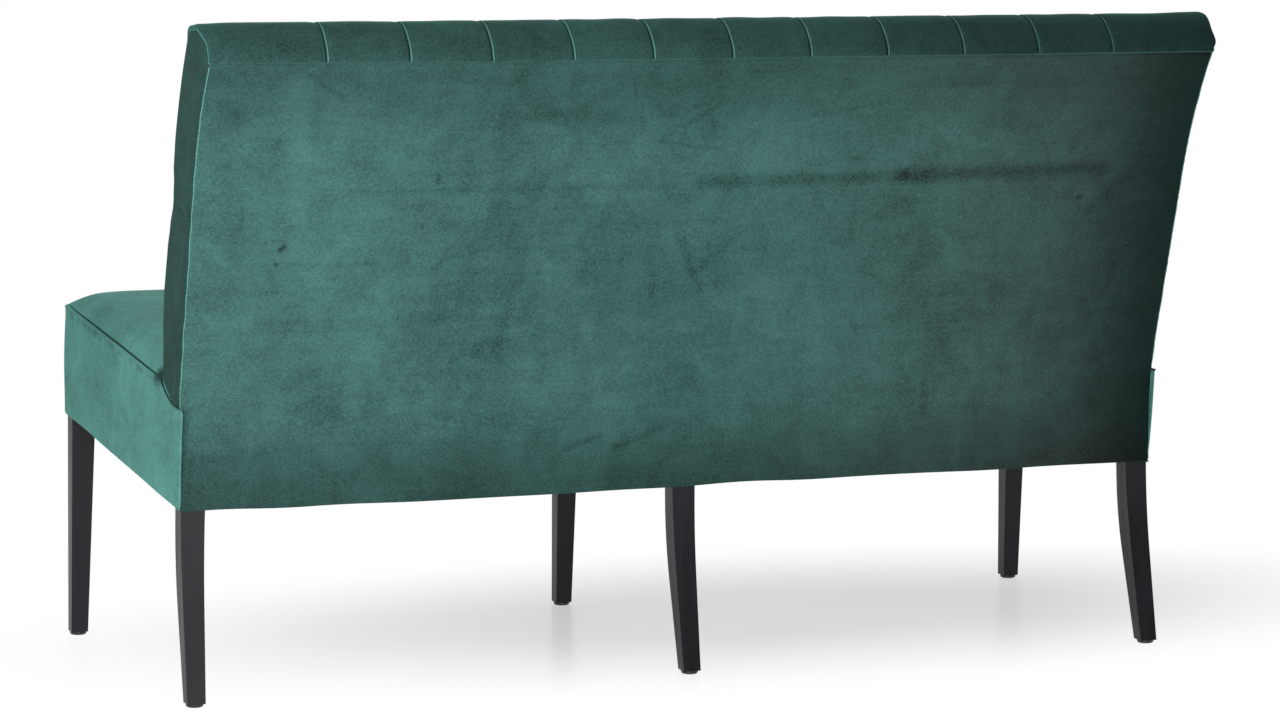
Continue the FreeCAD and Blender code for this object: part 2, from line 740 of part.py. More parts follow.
def station(base, outer, values):
    """One closed section: base and outer are (y, z), heights run from base towards outer."""
    half_gap, inside, fold, between, edge = values
    start = Vector(0, base[0], base[1])
    rise = (Vector(0, outer[0], outer[1]) - start).normalize()

    def place(x, height):
        return start + Vector(x, 0, 0) + rise * height

    stops = [(-half_rear, edge)]
    for x in row_places(upper_row_count):
        for side in (-1, 1):
            stops.append((x + side * half_gap, fold))
    stops.append((half_rear, edge))
    edges = []
    for index, ((x0, h0), (x1, h1)) in enumerate(zip(stops, stops[1:])):
        inner = index % 2 == 1
        height = inside if inner else between
        if index in (0, len(stops) - 2):
            height = max(between, (h0 + h1) / 2)
        height = max(height, (h0 + h1) / 2 + pad_bow)
        edges.append(arc(place(x0, h0), place((x0 + x1) / 2, height), place(x1, h1)))
    edges.append(line(place(half_rear, edge), place(half_rear, 0)))
    edges.append(line(place(half_rear, 0), place(-half_rear, 0)))
    edges.append(line(place(-half_rear, 0), place(-half_rear, edge)))
    return Part.Wire(edges)


def front_station(s, values):
    return station(back_point(s, pad_base), back_point(s, pad_crest), values)


lower_row_s = middle_row_s - row_pitch
upper_row_s = middle_row_s + row_pitch
foot_y, _, foot_angle = back_frame(back_bottom_s)
pad_foot_height = (foot_y - pad_front_y) / math.cos(foot_angle) - pad_base
stations = [
    front_station(back_bottom_s, pleat_section(pad_foot_height, foot_dip)),
    front_station(pad_waist_s, pleat_section(pad_waist_height, waist_dip)),
    front_station(pad_belly_s, pleat_section(pad_belly_height, belly_dip)),
    front_station(lower_row_s, row_section),
    front_station(lower_row_s + row_pitch / 2, halfway_section),
    front_station(middle_row_s, cross_section),
    front_station(middle_row_s + row_pitch / 2, halfway_section),
    front_station(upper_row_s, row_section),
    front_station(upper_row_s + pad_neck_rise, pleat_section(pad_neck_height, neck_dip)),
    front_station(rail_head_s - pad_brow_drop, pleat_section(pad_brow_height, brow_dip)),
]


# The top is a roll. Its circle starts at the brow, flush with it, and ends at the rear seam.
roll_foremost = -back_foam_thickness - pad_brow_height
roll_run = top_run + roll_overhang - roll_foremost
roll_rise = rail_drop - top_rail_thickness + roll_seam_rise + roll_centre_drop
roll_radius = (roll_run ** 2 + roll_rise ** 2) / (2 * roll_run)
roll_centre = roll_foremost + roll_radius
roll_turn = math.pi - math.atan2(roll_rise, roll_run - roll_radius)


def roll_station(turn_share, base_behind, base_above, dip):
    turn = turn_share * roll_turn
    base = head_point(base_behind, base_above)
    outer = head_point(roll_centre - roll_radius * math.cos(turn),
                       roll_radius * math.sin(turn) - roll_centre_drop)
    return station((base.y, base.z), (outer.y, outer.z), pleat_section((outer - base).Length, dip))


stations.append(roll_station(0, -back_foam_thickness, -roll_centre_drop, roll_dip))
for quarter_share in (0.25, 0.5, 0.75, 1):
    angle = math.pi / 2 * quarter_share
    stations.append(roll_station(roll_corner_share * quarter_share, -back_foam_thickness * math.cos(angle),
                                 back_foam_thickness * math.sin(angle), roll_dip))
for top_share in (0.25, 0.5, 0.75, 1):
    stations.append(roll_station(roll_corner_share + (1 - roll_corner_share) * top_share,
                                 (top_run - stile_rear) * top_share, back_foam_thickness, seam_dip))
back_space = solid_from(side_outline(-plenty, slip), Vector(2 * plenty, 0, 0))
tufted = Part.makeLoft(stations, True, True).cut(back_space)
tufted = tufted.cut(through_holes(button_radius + slip, pad_base + floor_height, pad_crest + overrun))
back_tufted_cover = tufted.cut(through_holes(twine_hole, pad_base - overrun, pad_crest + overrun))

# Covered buttons and the twines that pull them in

button_profile = [
    (0, 0), (button_foot * 2, 0), (button_foot * 2, button_foot),
    (button_radius - button_foot, button_foot), (button_radius, button_foot * 2),
    (button_radius * dome_radius_share, button_height * dome_height_share),
    (button_radius * crown_radius_share, button_height * crown_height_share), (0, button_height)]
button_base = pad_base + floor_height + button_lift
rows = {}
twines = []
knot_pockets = through_holes(knot_radius + slip, stile_front - knot_height - slip, stile_front)
rear_leg_middle = rear_leg_middle.cut(knot_pockets)
for name, (s, count) in button_rows.items():
    buttons = []
    for x in row_places(count):
        axis = button_axis(s)
        foot = at_x(x, back_point(s, button_base))
        buttons.append(turned(button_profile, foot, axis))
        knot_start = at_x(x, back_point(s, stile_front - knot_height - hole_clearance))
        reach = button_base - stile_front + knot_height + hole_clearance
        twine_profile = [(0, 0), (knot_radius, 0), (knot_radius, knot_height),
                         (twine_radius, knot_height), (twine_radius, reach), (0, reach)]
        twines.append(turned(twine_profile, knot_start, axis))
    rows[name] = group(buttons)
button_twines = group(twines)

# Seat: a crowned block lofted from end to end and a box below it, both with rounded front corners

corner_steps = 4             # flat strips round a corner of the crowned block
crown_run_shares = (0.12, 0.22, 0.4, 0.7)


def crown_share(distance):
    """Share of the full crown that is reached at a distance from the end of the seat."""
    return 1 - (1 - min(distance / crown_run, 1)) ** crown_power


def seat_section(side, distance, corner_cut, inset, base, u_rear):
    """Closed section along u at a distance from one end, shortened by corner_cut at its front."""
    u_front = seat_box_depth - inset - corner_cut
    u_roll = u_front - front_roll_depth
    share = side * (1 - distance / (half_front - inset))
    seam = seat_box_height - inset
    full = seat_crown * crown_share(distance)

    def place(u, w):
        return Vector(share * (half_width(u) - inset), -u, w)

    front_seam = place(u_front, seam)
    roll_mid = place(u_front - front_roll_depth * roll_reach_share,
                     seam + full * roll_rise_share + least_bow)
    roll_top = place(u_roll, seam + full * front_roll_share + least_bow)
    middle_top = place(u_roll / 2, seam + full + 2 * least_bow)
    w_rear = seam + full * crown_rear_share + least_bow
    edges = [arc(front_seam, roll_mid, roll_top), arc(roll_top, middle_top, place(0, w_rear))]
    corners = [place(0, w_rear), place(u_rear, w_rear), place(u_rear, base), place(u_front, base),
               front_seam]
    edges += [line(a, b) for a, b in zip(corners, corners[1:])]
    return Part.Wire(edges)


def seat_block(inset, base, u_rear):
    radius = seat_corner_radius - inset
    places = []
    for step in range(corner_steps + 1):
        turn = math.radians(90 * step / corner_steps)
        places.append((radius * (1 - math.cos(turn)), radius * (1 - math.sin(turn))))
    places += [(crown_run * share, 0.0) for share in crown_run_shares]
    ends = [(-1, distance, corner_cut) for distance, corner_cut in places]
    ends.append((1, half_front - inset, 0.0))
    ends += [(1, distance, corner_cut) for distance, corner_cut in reversed(places)]
    sections = [seat_section(*end, inset, base, u_rear) for end in ends]
    return into_seat(Part.makeLoft(sections, True, True))


def seat_box(inset, low, high, u_rear):
    corners = [(-1, u_rear), (-1, seat_box_depth - inset), (1, seat_box_depth - inset), (1, u_rear)]
    points = [Vector(side * (half_width(u) - inset), -u, low) for side, u in corners]
    radius = seat_corner_radius - inset
    plan = rounded_chain(points, [radius, radius])
    plan.append(line(points[-1], points[0]))
    return into_seat(solid_from(plan, Vector(0, 0, high - low)))


lap_height = seat_box_height - seam_lap
border = seat_box(0.0, 0.0, lap_height, -overrun)
border = border.cut(seat_box(cover_thickness, hem_thickness, lap_height + overrun, -2 * overrun))
top_shell = seat_block(0.0, lap_height, -overrun)
top_shell = top_shell.cut(seat_block(cover_thickness, lap_height - overrun, -2 * overrun))
hem_front = seat_box_depth - hem_width
inside_hem = plan_prism([
    (-end_line(-overrun, hem_width), -overrun), (end_line(-overrun, hem_width), -overrun),
    (end_line(hem_front, hem_width), hem_front), (-end_line(hem_front, hem_width), hem_front)],
    -overrun, hem_thickness + overrun / 2)
front_of_pad = pad_front_y - slip
pad_foot_rear = back_point(back_bottom_s - slip, board_front)
pad_foot_front = back_point(back_bottom_s - slip, pad_base + pad_foot_height + slip)
pad_foot_room = solid_from(polygon_edges([
    at_x(-plenty, pad_foot_rear), at_x(-plenty, pad_foot_front),
    Vector(-plenty, pad_foot_front[0], plenty), Vector(-plenty, pad_foot_rear[0], plenty)]),
    Vector(2 * plenty, 0, 0))
behind_pad = Part.makeBox(2 * plenty, plenty, plenty, Vector(-plenty, front_of_pad, 0))
behind_cover = Part.makeBox(2 * plenty, plenty, plenty,
                            Vector(-plenty, rear_face_y - outside_cover_thickness - slip, 0))
leg_room = group([front_leg_left, mirrored(front_leg_left), front_leg_middle,
                  rear_leg_left, mirrored(rear_leg_left), rear_leg_middle])


seat_border_cover = border.cut(inside_hem).cut(back_space).cut(behind_cover)
seat_border_cover = seat_border_cover.cut(leg_room).cut(pad_foot_room)
seat_top_cover = top_shell.cut(behind_pad)

# Foam, webbing and dust cover

foam_base = rail_top + 2 * strap_thickness + slip
seat_foam = seat_block(cover_thickness + 2 * slip, foam_base, -overrun)
seat_foam = seat_foam.cut(behind_pad)


def strap(corners, level):
    return plan_prism(corners, level, level + strap_thickness)


cross_pitch = (rear_leg_inner - leg_width / 2) / cross_straps_per_half
cross_u_low = (rear_face_y - rear_rail_y + rail_top * tilt_sin) / tilt_cos
cross = []
for index in range(cross_straps_per_half):
    x = leg_width / 2 + cross_pitch * (index + 0.5)
    near, far = x - strap_width / 2, x + strap_width / 2
    cross.append(strap([(near, cross_u_low), (far, cross_u_low), (far, rail_u_front), (near, rail_u_front)],
                       rail_top))
seat_webbing_cross = group(cross + [mirrored(s) for s in cross])
long_pitch = (rail_u_rear - end_u_low - 2 * strap_width) / long_straps
lengths = []
for index in range(long_straps):
    u = end_u_low + 2 * strap_width + long_pitch * (index + 0.5)
    rear, front = u - strap_width / 2, u + strap_width / 2
    lengths.append(strap([(-end_line(rear, end_outer), rear), (end_line(rear, end_outer), rear),
                          (end_line(front, end_outer), front), (-end_line(front, end_outer), front)],
                         rail_top + strap_thickness))
seat_webbing_long = group(lengths)
underside_cover = plan_prism([
    (-end_line(dust_cover_inset, dust_cover_inset), dust_cover_inset),
    (end_line(dust_cover_inset, dust_cover_inset), dust_cover_inset),
    (end_line(seat_box_depth - dust_cover_inset, dust_cover_inset), seat_box_depth - dust_cover_inset),
    (-end_line(seat_box_depth - dust_cover_inset, dust_cover_inset), seat_box_depth - dust_cover_inset)],
    -dust_cover_thickness - hole_clearance, -hole_clearance)
underside_cover = underside_cover.cut(leg_room)

# Holes for dowels, screws and nails

wood_cutters = group(frame_dowels.Solids + corner_block_screws.Solids + top_screws + nails)


def drilled(shape):
    return shape.cut(wood_cutters)


pieces = {
    "front_leg_left": drilled(front_leg_left),
    "front_leg_middle": drilled(front_leg_middle),
    "front_leg_right": drilled(mirrored(front_leg_left)),
    "rear_leg_left": drilled(rear_leg_left),
    "rear_leg_middle": drilled(rear_leg_middle),
    "rear_leg_right": drilled(mirrored(rear_leg_left)),
    "front_rail_left": drilled(front_rail_left),
    "front_rail_right": drilled(mirrored(front_rail_left)),
    "rear_rail_left": drilled(rear_rail_left),
    "rear_rail_right": drilled(mirrored(rear_rail_left)),
    "end_rail_left": drilled(end_rail_left),
    "end_rail_right": drilled(mirrored(end_rail_left)),
    "middle_cross_rail": drilled(middle_cross_rail),
    "back_lower_rail_left": drilled(back_lower_rail_left),
    "back_lower_rail_right": drilled(mirrored(back_lower_rail_left)),
    "back_top_rail": drilled(back_top_rail),
    "frame_dowels": frame_dowels,
    "corner_blocks": corner_blocks,
    "corner_block_screws": corner_block_screws,
    "top_rail_screws": top_rail_screws,
    "glide_nails": glide_nails,
    "back_board": back_board,
    "back_foam": back_foam,
    "back_tufted_cover": back_tufted_cover,
    "buttons_upper_row": rows["upper"],
    "buttons_middle_row": rows["middle"],
    "buttons_lower_row": rows["lower"],
    "button_twines": button_twines,
    "back_side_cover_left": back_side_cover_left,
    "back_side_cover_right": mirrored(back_side_cover_left),
    "outside_back_cover": outside_back_cover,
    "outside_back_lining": outside_back_lining,
    "back_tack_strip": back_tack_strip,
    "seat_webbing_cross": seat_webbing_cross,
    "seat_webbing_long": seat_webbing_long,
    "seat_foam": seat_foam,
    "seat_top_cover": seat_top_cover,
    "seat_border_cover": seat_border_cover,
    "underside_cover": underside_cover,
}
for place, (x, y) in feet.items():
    pieces["glide_" + place] = glide(x, y).cut(group(nails))

whole = Part.makeCompound(list(pieces.values())).BoundBox
centre_y = (whole.YMin + whole.YMax) / 2
for name, shape in pieces.items():
    shape.translate(Vector(0, -centre_y, 0))
    shape.exportStep("parts/" + name + ".step")
    print(name, len(shape.Solids), round(shape.Volume), shape.isValid())
print("size", round(whole.XLength, 1), round(whole.YLength, 1), round(whole.ZLength, 1))
print("centre y", round(centre_y, 2))
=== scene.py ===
import json
import math
from collections import namedtuple

import bpy
import numpy as np
from mathutils import Matrix, Vector


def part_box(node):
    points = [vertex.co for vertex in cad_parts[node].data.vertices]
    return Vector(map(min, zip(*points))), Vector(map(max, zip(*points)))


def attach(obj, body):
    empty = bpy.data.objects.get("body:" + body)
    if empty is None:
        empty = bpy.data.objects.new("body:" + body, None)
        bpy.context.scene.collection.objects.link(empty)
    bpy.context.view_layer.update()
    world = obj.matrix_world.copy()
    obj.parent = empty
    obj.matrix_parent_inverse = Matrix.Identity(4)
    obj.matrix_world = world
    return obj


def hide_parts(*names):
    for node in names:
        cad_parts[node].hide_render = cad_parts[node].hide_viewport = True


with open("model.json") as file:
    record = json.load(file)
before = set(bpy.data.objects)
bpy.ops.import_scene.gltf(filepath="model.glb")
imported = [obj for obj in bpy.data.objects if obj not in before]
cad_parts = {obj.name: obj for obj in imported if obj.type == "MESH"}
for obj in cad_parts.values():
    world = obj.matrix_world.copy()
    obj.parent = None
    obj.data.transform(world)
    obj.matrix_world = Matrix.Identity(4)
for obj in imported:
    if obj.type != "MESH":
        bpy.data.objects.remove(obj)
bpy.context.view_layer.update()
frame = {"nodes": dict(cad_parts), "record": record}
scene = bpy.context.scene
nodes = frame["nodes"]

# Everything is in metres. +X is the sitter's left, +Y the rear, +Z up.

mm = 0.001

# The back's curve, from the frame and the angles of its two bends
outside_thickness = 2.5 * mm
fit_shift = 219.11 * mm              # from the line through the rear feet to the middle of the bench
outside_low, outside_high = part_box("outside_back_cover")
rear_face_y = outside_low.y + outside_thickness
underside_z = outside_low.z
half_back = outside_high.x
recline_lower = math.radians(16.5)
recline_upper = math.radians(35.0)
lower_bend_rise = 142.4 * mm
bend_to_bend = 420.0 * mm
lower_bend_radius = 414.0 * mm
upper_bend_radius = 612.0 * mm
last_straight = 5.0 * mm
lower_turn = recline_lower
upper_turn = recline_upper - recline_lower
lower_reach = lower_bend_radius * math.tan(lower_turn / 2)
upper_reach = upper_bend_radius * math.tan(upper_turn / 2)
curve_pieces = [
    (lower_bend_rise - lower_reach, None),
    (lower_bend_radius * lower_turn, lower_bend_radius),
    (bend_to_bend - lower_reach - upper_reach, None),
    (upper_bend_radius * upper_turn, upper_bend_radius),
    (last_straight, None),
]
curve_end = sum(length for length, _ in curve_pieces)
rail_head_s = curve_end - 23.0 * mm
board_front = 53.0 * mm
foam_thickness = 15.0 * mm
pad_base = board_front + foam_thickness
brow_height = 39.0 * mm
roll_drop = 12.0 * mm
roll_foremost = -foam_thickness - brow_height
roll_run = board_front + 1.2 * mm - roll_foremost
roll_rise = 23.0 * mm + 3.6 * mm + roll_drop
roll_radius = (roll_run ** 2 + roll_rise ** 2) / (2.0 * roll_run)
roll_centre = roll_foremost + roll_radius
roll_turn = math.pi - math.atan2(roll_rise, roll_run - roll_radius)

# Seat box
seat_tilt = math.radians(7.0)
seat_depth = 561.0 * mm
seat_height = 166.0 * mm
half_front = 796.3 * mm
seat_crown = 34.0 * mm
corner_radius = 14.0 * mm
end_slope = (half_front - half_back) / seat_depth

# Tufting
pitch = 118.0 * mm
top_count = 11
middle_row_s = 425.0 * mm
row_pitch = 85.0 * mm


def back_curve(s):
    """y, z and recline of the outside back at distances s up from its lower edge."""
    s = np.asarray(s, float)
    y = np.full(s.shape, rear_face_y)
    z = np.full(s.shape, underside_z)
    angle = np.zeros(s.shape)
    start = 0.0
    for index, (length, radius) in enumerate(curve_pieces):
        lowest = -1.0 if index == 0 else 0.0
        highest = 1.0 if index == len(curve_pieces) - 1 else length
        run = np.clip(s - start, lowest, highest)
        if radius is None:
            y = y + run * np.sin(angle)
            z = z + run * np.cos(angle)
        else:
            turn = run / radius
            y = y + radius * (np.cos(angle) - np.cos(angle + turn))
            z = z + radius * (np.sin(angle + turn) - np.sin(angle))
            angle = angle + turn
        start += length
    return y, z, angle


def back_point(s, depth):
    y, z, angle = back_curve(s)
    return y - depth * np.cos(angle), z + depth * np.sin(angle)


def seat_point(u, w):
    return (rear_face_y - u * math.cos(seat_tilt) + w * math.sin(seat_tilt),
            underside_z + u * math.sin(seat_tilt) + w * math.cos(seat_tilt))


def smooth(t):
    t = np.clip(t, 0.0, 1.0)
    return t * t * (3.0 - 2.0 * t)


def ripples(a, b, wavelength, seed, count=14):
    """A smooth random field of about unit height, the same in every run."""
    draw = np.random.default_rng(seed)
    total = np.zeros(np.broadcast(a, b).shape)
    for _ in range(count):
        way = draw.uniform(0.0, 2.0 * math.pi)
        wave = 2.0 * math.pi / (wavelength * draw.uniform(0.7, 1.5))
        total += np.sin(wave * (a * math.cos(way) + b * math.sin(way)) + draw.uniform(0.0, 2.0 * math.pi))
    return total / math.sqrt(count)


def crease(a, b, start, end, width, depth):
    """A soft furrow along a line between two points of a surface."""
    run = np.array(end) - np.array(start)
    length = np.hypot(*run)
    along = ((a - start[0]) * run[0] + (b - start[1]) * run[1]) / length ** 2
    near = np.clip(along, 0.0, 1.0)
    gap = np.hypot(a - start[0] - near * run[0], b - start[1] - near * run[1])
    return -depth * np.exp(-(gap / width) ** 2) * smooth(4.0 * near) * smooth(4.0 * (1.0 - near))


# Mesh builders

def grid_faces(rows, columns, skip=None):
    faces = []
    for i in range(rows - 1):
        for j in range(columns - 1):
            if skip is None or not skip(i, j):
                a = i * columns + j
                faces.append((a, a + 1, a + columns + 1, a + columns))
    return faces


def new_piece(name, points, faces, material):
    mesh = bpy.data.meshes.new(name)
    mesh.from_pydata([tuple(p) for p in np.asarray(points).reshape(-1, 3)], [], faces)
    mesh.update()
    mesh.polygons.foreach_set("use_smooth", [True] * len(mesh.polygons))
    piece = bpy.data.objects.new(name, mesh)
    scene.collection.objects.link(piece)
    mesh.materials.append(material)
    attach(piece, "root")
    return piece


def settle(piece):
    """Applies the piece's modifiers."""
    graph = bpy.context.evaluated_depsgraph_get()
    done = bpy.data.meshes.new_from_object(piece.evaluated_get(graph))
    piece.modifiers.clear()
    old = piece.data
    piece.data = done
    bpy.data.meshes.remove(old)


def cloth_piece(name, points, material, thickness, skip=None, others=(), pick=None):
    """A closed sheet from a grid of points that lie on its outer side.

    skip(i, j) says whether the face at row i and column j is left out, and pick(i, j) gives its
    place in the list of materials."""
    rows, columns = points.shape[:2]
    piece = new_piece(name, points, grid_faces(rows, columns, skip), material)
    for other in others:
        piece.data.materials.append(other)
    if pick:
        cells = [(i, j) for i in range(rows - 1) for j in range(columns - 1)
                 if skip is None or not skip(i, j)]
        piece.data.polygons.foreach_set("material_index", [pick(i, j) for i, j in cells])
    shell = piece.modifiers.new("shell", "SOLIDIFY")
    shell.thickness = thickness
    shell.offset = -1.0
    shell.use_rim = True
    settle(piece)
    return piece


def strand_piece(name, path, radii, material):
    """A closed round strand of velvet along points, with one radius for each point."""
    sides = 8
    path = np.asarray(path, float)
    run = np.gradient(path, axis=0)
    run /= np.linalg.norm(run, axis=1)[:, None]
    one = np.cross(run, np.array([[1.0, 0.0, 0.0]]))
    one /= np.linalg.norm(one, axis=1)[:, None]
    two = np.cross(run, one)
    turns = np.linspace(0.0, 2.0 * math.pi, sides, endpoint=False)
    rings = path[:, None] + np.asarray(radii)[:, None, None] * (
        one[:, None] * np.cos(turns)[None, :, None] + two[:, None] * np.sin(turns)[None, :, None])
    count = len(path)
    faces = []
    for i in range(count - 1):
        for j in range(sides):
            a, b = i * sides + j, i * sides + (j + 1) % sides
            faces.append((a, b, b + sides, a + sides))
    faces.append(tuple(range(sides))[::-1])
    faces.append(tuple((count - 1) * sides + j for j in range(sides)))
    return new_piece(name, rings, faces, material)


# Shader nodes: an input is given as another node's output, as a number or as a colour

def feed(tree, node, inputs):
    """Links or sets inputs of a node; what is None stays as it is."""
    for key, value in inputs.items():
        if isinstance(value, bpy.types.NodeSocket):
            tree.links.new(value, node.inputs[key])
        elif value is not None:
            node.inputs[key].default_value = value
    return node


def added(tree, kind, inputs):
    """Adds a node and feeds its inputs."""
    return feed(tree, tree.nodes.new("ShaderNode" + kind), inputs)


def new_material(name):
    material = bpy.data.materials.new(name)
    material.use_nodes = True
    tree = material.node_tree
    tree.nodes.clear()
    shader = added(tree, "BsdfPrincipled", {})
    added(tree, "OutputMaterial", {"Surface": shader.outputs["BSDF"]})
    return material, tree, shader


def linear(red, green, blue):
    """Colour from the 0 to 255 values of a picture."""
    return tuple((c / 255.0 / 12.92) if c < 10.0 else ((c / 255.0 + 0.055) / 1.055) ** 2.4
                 for c in (red, green, blue)) + (1.0,)


def object_place(tree, scale=(1.0, 1.0, 1.0), shift=(0.0, 0.0, 0.0)):
    place = added(tree, "TexCoord", {}).outputs["Object"]
    return added(tree, "Mapping", {"Vector": place, "Location": shift, "Scale": scale}).outputs["Vector"]


def noise(tree, vector, scale, detail=4.0, rough=0.55, distortion=0.0):
    return added(tree, "TexNoise", {"Vector": vector, "Scale": scale, "Detail": detail, "Roughness": rough,
                                    "Distortion": distortion}).outputs["Fac"]


def spread(tree, value, low, high, to_low=0.0, to_high=1.0):
    """A smooth change from one value to another between two stops."""
    node = added(tree, "MapRange", {"Value": value, "From Min": low, "From Max": high,
                                    "To Min": to_low, "To Max": to_high})
    node.interpolation_type = "SMOOTHSTEP"
    return node.outputs["Result"]


def sums(tree, operation, a, b=0.0):
    node = added(tree, "Math", {})
    node.operation = operation
    return feed(tree, node, {0: a, 1: b}).outputs["Value"]


def add(tree, a, b):
    return sums(tree, "ADD", a, b)


def minus(tree, a, b):
    return sums(tree, "SUBTRACT", a, b)


def times(tree, a, b):
    return sums(tree, "MULTIPLY", a, b)


def vectors(tree, operation, a, b=None, scale=None):
    node = added(tree, "VectorMath", {})
    node.operation = operation
    feed(tree, node, {0: a, 1: b, "Scale": scale})
    return node.outputs["Value" if operation in ("DOT_PRODUCT", "DISTANCE", "LENGTH") else "Vector"]


def split(tree, vector):
    return added(tree, "SeparateXYZ", {"Vector": vector}).outputs.values()


def mixed(tree, share, first, second, kind="RGBA"):
    """A mix of two colours, or of two vectors, whose share isn't clamped."""
    node = added(tree, "Mix", {})
    node.data_type = kind
    node.clamp_factor = kind == "RGBA"
    feed(tree, node, {"Factor": share})
    for key, value in (("A", first), ("B", second)):
        socket = [s for s in node.inputs if s.name == key and s.type == kind][0]
        socket.default_value = value
    return [s for s in node.outputs if s.type == kind][0]


def either(tree, share, first, second):
    """A mix of two shaders."""
    return added(tree, "MixShader", {0: share, 1: first, 2: second}).outputs["Shader"]


def bumped(tree, shader, height, strength, distance):
    bump = added(tree, "Bump", {"Height": height, "Strength": strength, "Distance": distance})
    feed(tree, shader, {"Normal": bump.outputs["Normal"]})


# Velvet

# Painted shade: grey that is added to the velvet where it is shaded
shade_grey_veil = (0.0130, 0.0006, 0.0016)


def velvet(name, mean, contrast=0.26, shading=None, sheen=0.5):
    """Short cut pile: cloudy marks, rubbed streaks, fine tufts and a sheen at grazing angles.

    shading(tree, plain) gives what it adds to the marks, a factor that dims the colour as painted shade, and
    how grey the colour gets in that painted shade; the last two may be None."""
    material, tree, shader = new_material(name)
    plain = object_place(tree)
    cloud = noise(tree, plain, 4.0, 6.0, 0.6, 0.5)
    level = noise(tree, object_place(tree, (0.35, 1.0, 4.5)), 14.0, 5.0, 0.65, 0.3)
    upright = noise(tree, object_place(tree, (4.5, 4.5, 0.3)), 11.0, 4.0, 0.6, 0.3)
    patch = noise(tree, plain, 19.0, 5.0, 0.65, 0.8)
    tufts = noise(tree, plain, 320.0, 3.0, 0.75)
    marks = 0.0
    for field, weight in ((cloud, 1.9), (patch, 1.5), (level, 0.7), (upright, 0.4)):
        marks = add(tree, marks, times(tree, minus(tree, field, 0.5), weight))
    share = add(tree, marks, times(tree, minus(tree, tufts, 0.5), 3.2))
    share = add(tree, share, 0.5)
    dim = grey = None
    if shading:
        more, dim, grey = shading(tree, plain)
        share = add(tree, share, more)
    low, high = ([c * (1.0 + way * contrast) for c in mean[:3]] for way in (-1.0, 1.0))
    colour = mixed(tree, sums(tree, "MAXIMUM", share, -1.6), low, high, "VECTOR")
    if dim:
        colour = vectors(tree, "SCALE", colour, scale=dim)
    if grey:
        colour = vectors(tree, "ADD", colour, vectors(tree, "SCALE", shade_grey_veil, scale=grey))
    feed(tree, shader, {"Base Color": colour, "Roughness": 0.85, "Specular IOR Level": 0.15,
                        "Sheen Weight": sheen, "Sheen Roughness": 0.4, "Sheen Tint": linear(120, 200, 184)})
    bumped(tree, shader, add(tree, times(tree, tufts, 0.35), marks), 0.35, 0.8 * mm)
    return material


def stroke(tree, spot, start, end, width, strength):
    """How much of a rubbed line, between two points in x and z, lies on a spot."""
    run = Vector((end[0] - start[0], 0.0, end[1] - start[1]))
    aside = vectors(tree, "SUBTRACT", spot, (start[0], 0.0, start[1]))
    along = vectors(tree, "DOT_PRODUCT", aside, run / run.length_squared)
    held = added(tree, "Clamp", {"Value": along})
    nearest = vectors(tree, "SCALE", run, scale=held.outputs["Result"])
    return spread(tree, vectors(tree, "DISTANCE", aside, nearest), 0.0, width, strength, 0.0)


# Lines rubbed into the pile of the outside back: both ends in x and z, reach, change of brightness
rubbed = [
    ((0.611, 0.891), (0.555, 0.855), 0.007, -0.7), ((0.547, 0.723), (0.052, 0.721), 0.007, -0.3),
    ((0.014, 0.724), (-0.300, 0.728), 0.016, -1.0), ((-0.300, 0.728), (-0.617, 0.732), 0.020, -1.3),
    ((0.622, 0.878), (0.597, 0.643), 0.030, 0.5), ((0.322, 0.837), (0.286, 0.442), 0.030, -0.25),
    ((0.262, 0.648), (0.298, 0.486), 0.014, -0.4), ((0.357, 0.563), (0.300, 0.412), 0.080, -0.3),
    ((0.263, 0.831), (0.165, 0.822), 0.026, -0.6), ((0.045, 0.663), (-0.005, 0.565), 0.012, -0.5),
    ((0.030, 0.640), (0.012, 0.590), 0.010, -0.4), ((-0.001, 0.602), (-0.045, 0.638), 0.012, -0.6),
    ((0.185, 0.335), (0.131, 0.354), 0.008, -0.9), ((0.108, 0.335), (0.039, 0.360), 0.009, -0.9),
    ((0.626, 0.644), (0.621, 0.648), 0.007, -2.2), ((0.632, 0.624), (0.629, 0.622), 0.005, -1.6),
    ((0.407, 0.745), (0.406, 0.734), 0.006, -1.2), ((-0.586, 0.688), (-0.591, 0.688), 0.007, -2.0),
    ((-0.379, 0.414), (-0.377, 0.362), 0.010, -0.6), ((-0.603, 0.665), (-0.653, 0.713), 0.011, -0.5),
    ((-0.191, 0.513), (-0.198, 0.467), 0.034, 0.4), ((0.084, 0.789), (0.003, 0.838), 0.007, -0.5),
    ((-0.010, 0.772), (0.084, 0.786), 0.006, -0.4), ((-0.109, 0.814), (-0.273, 0.841), 0.008, -0.4),
    ((0.723, 0.848), (0.699, 0.829), 0.022, -0.6), ((-0.270, 0.856), (-0.423, 0.868), 0.018, -0.3),
    ((-0.164, 0.769), (-0.174, 0.724), 0.007, -0.4), ((-0.230, 0.633), (-0.228, 0.708), 0.007, -0.4),
]
stroke_strength = 0.55


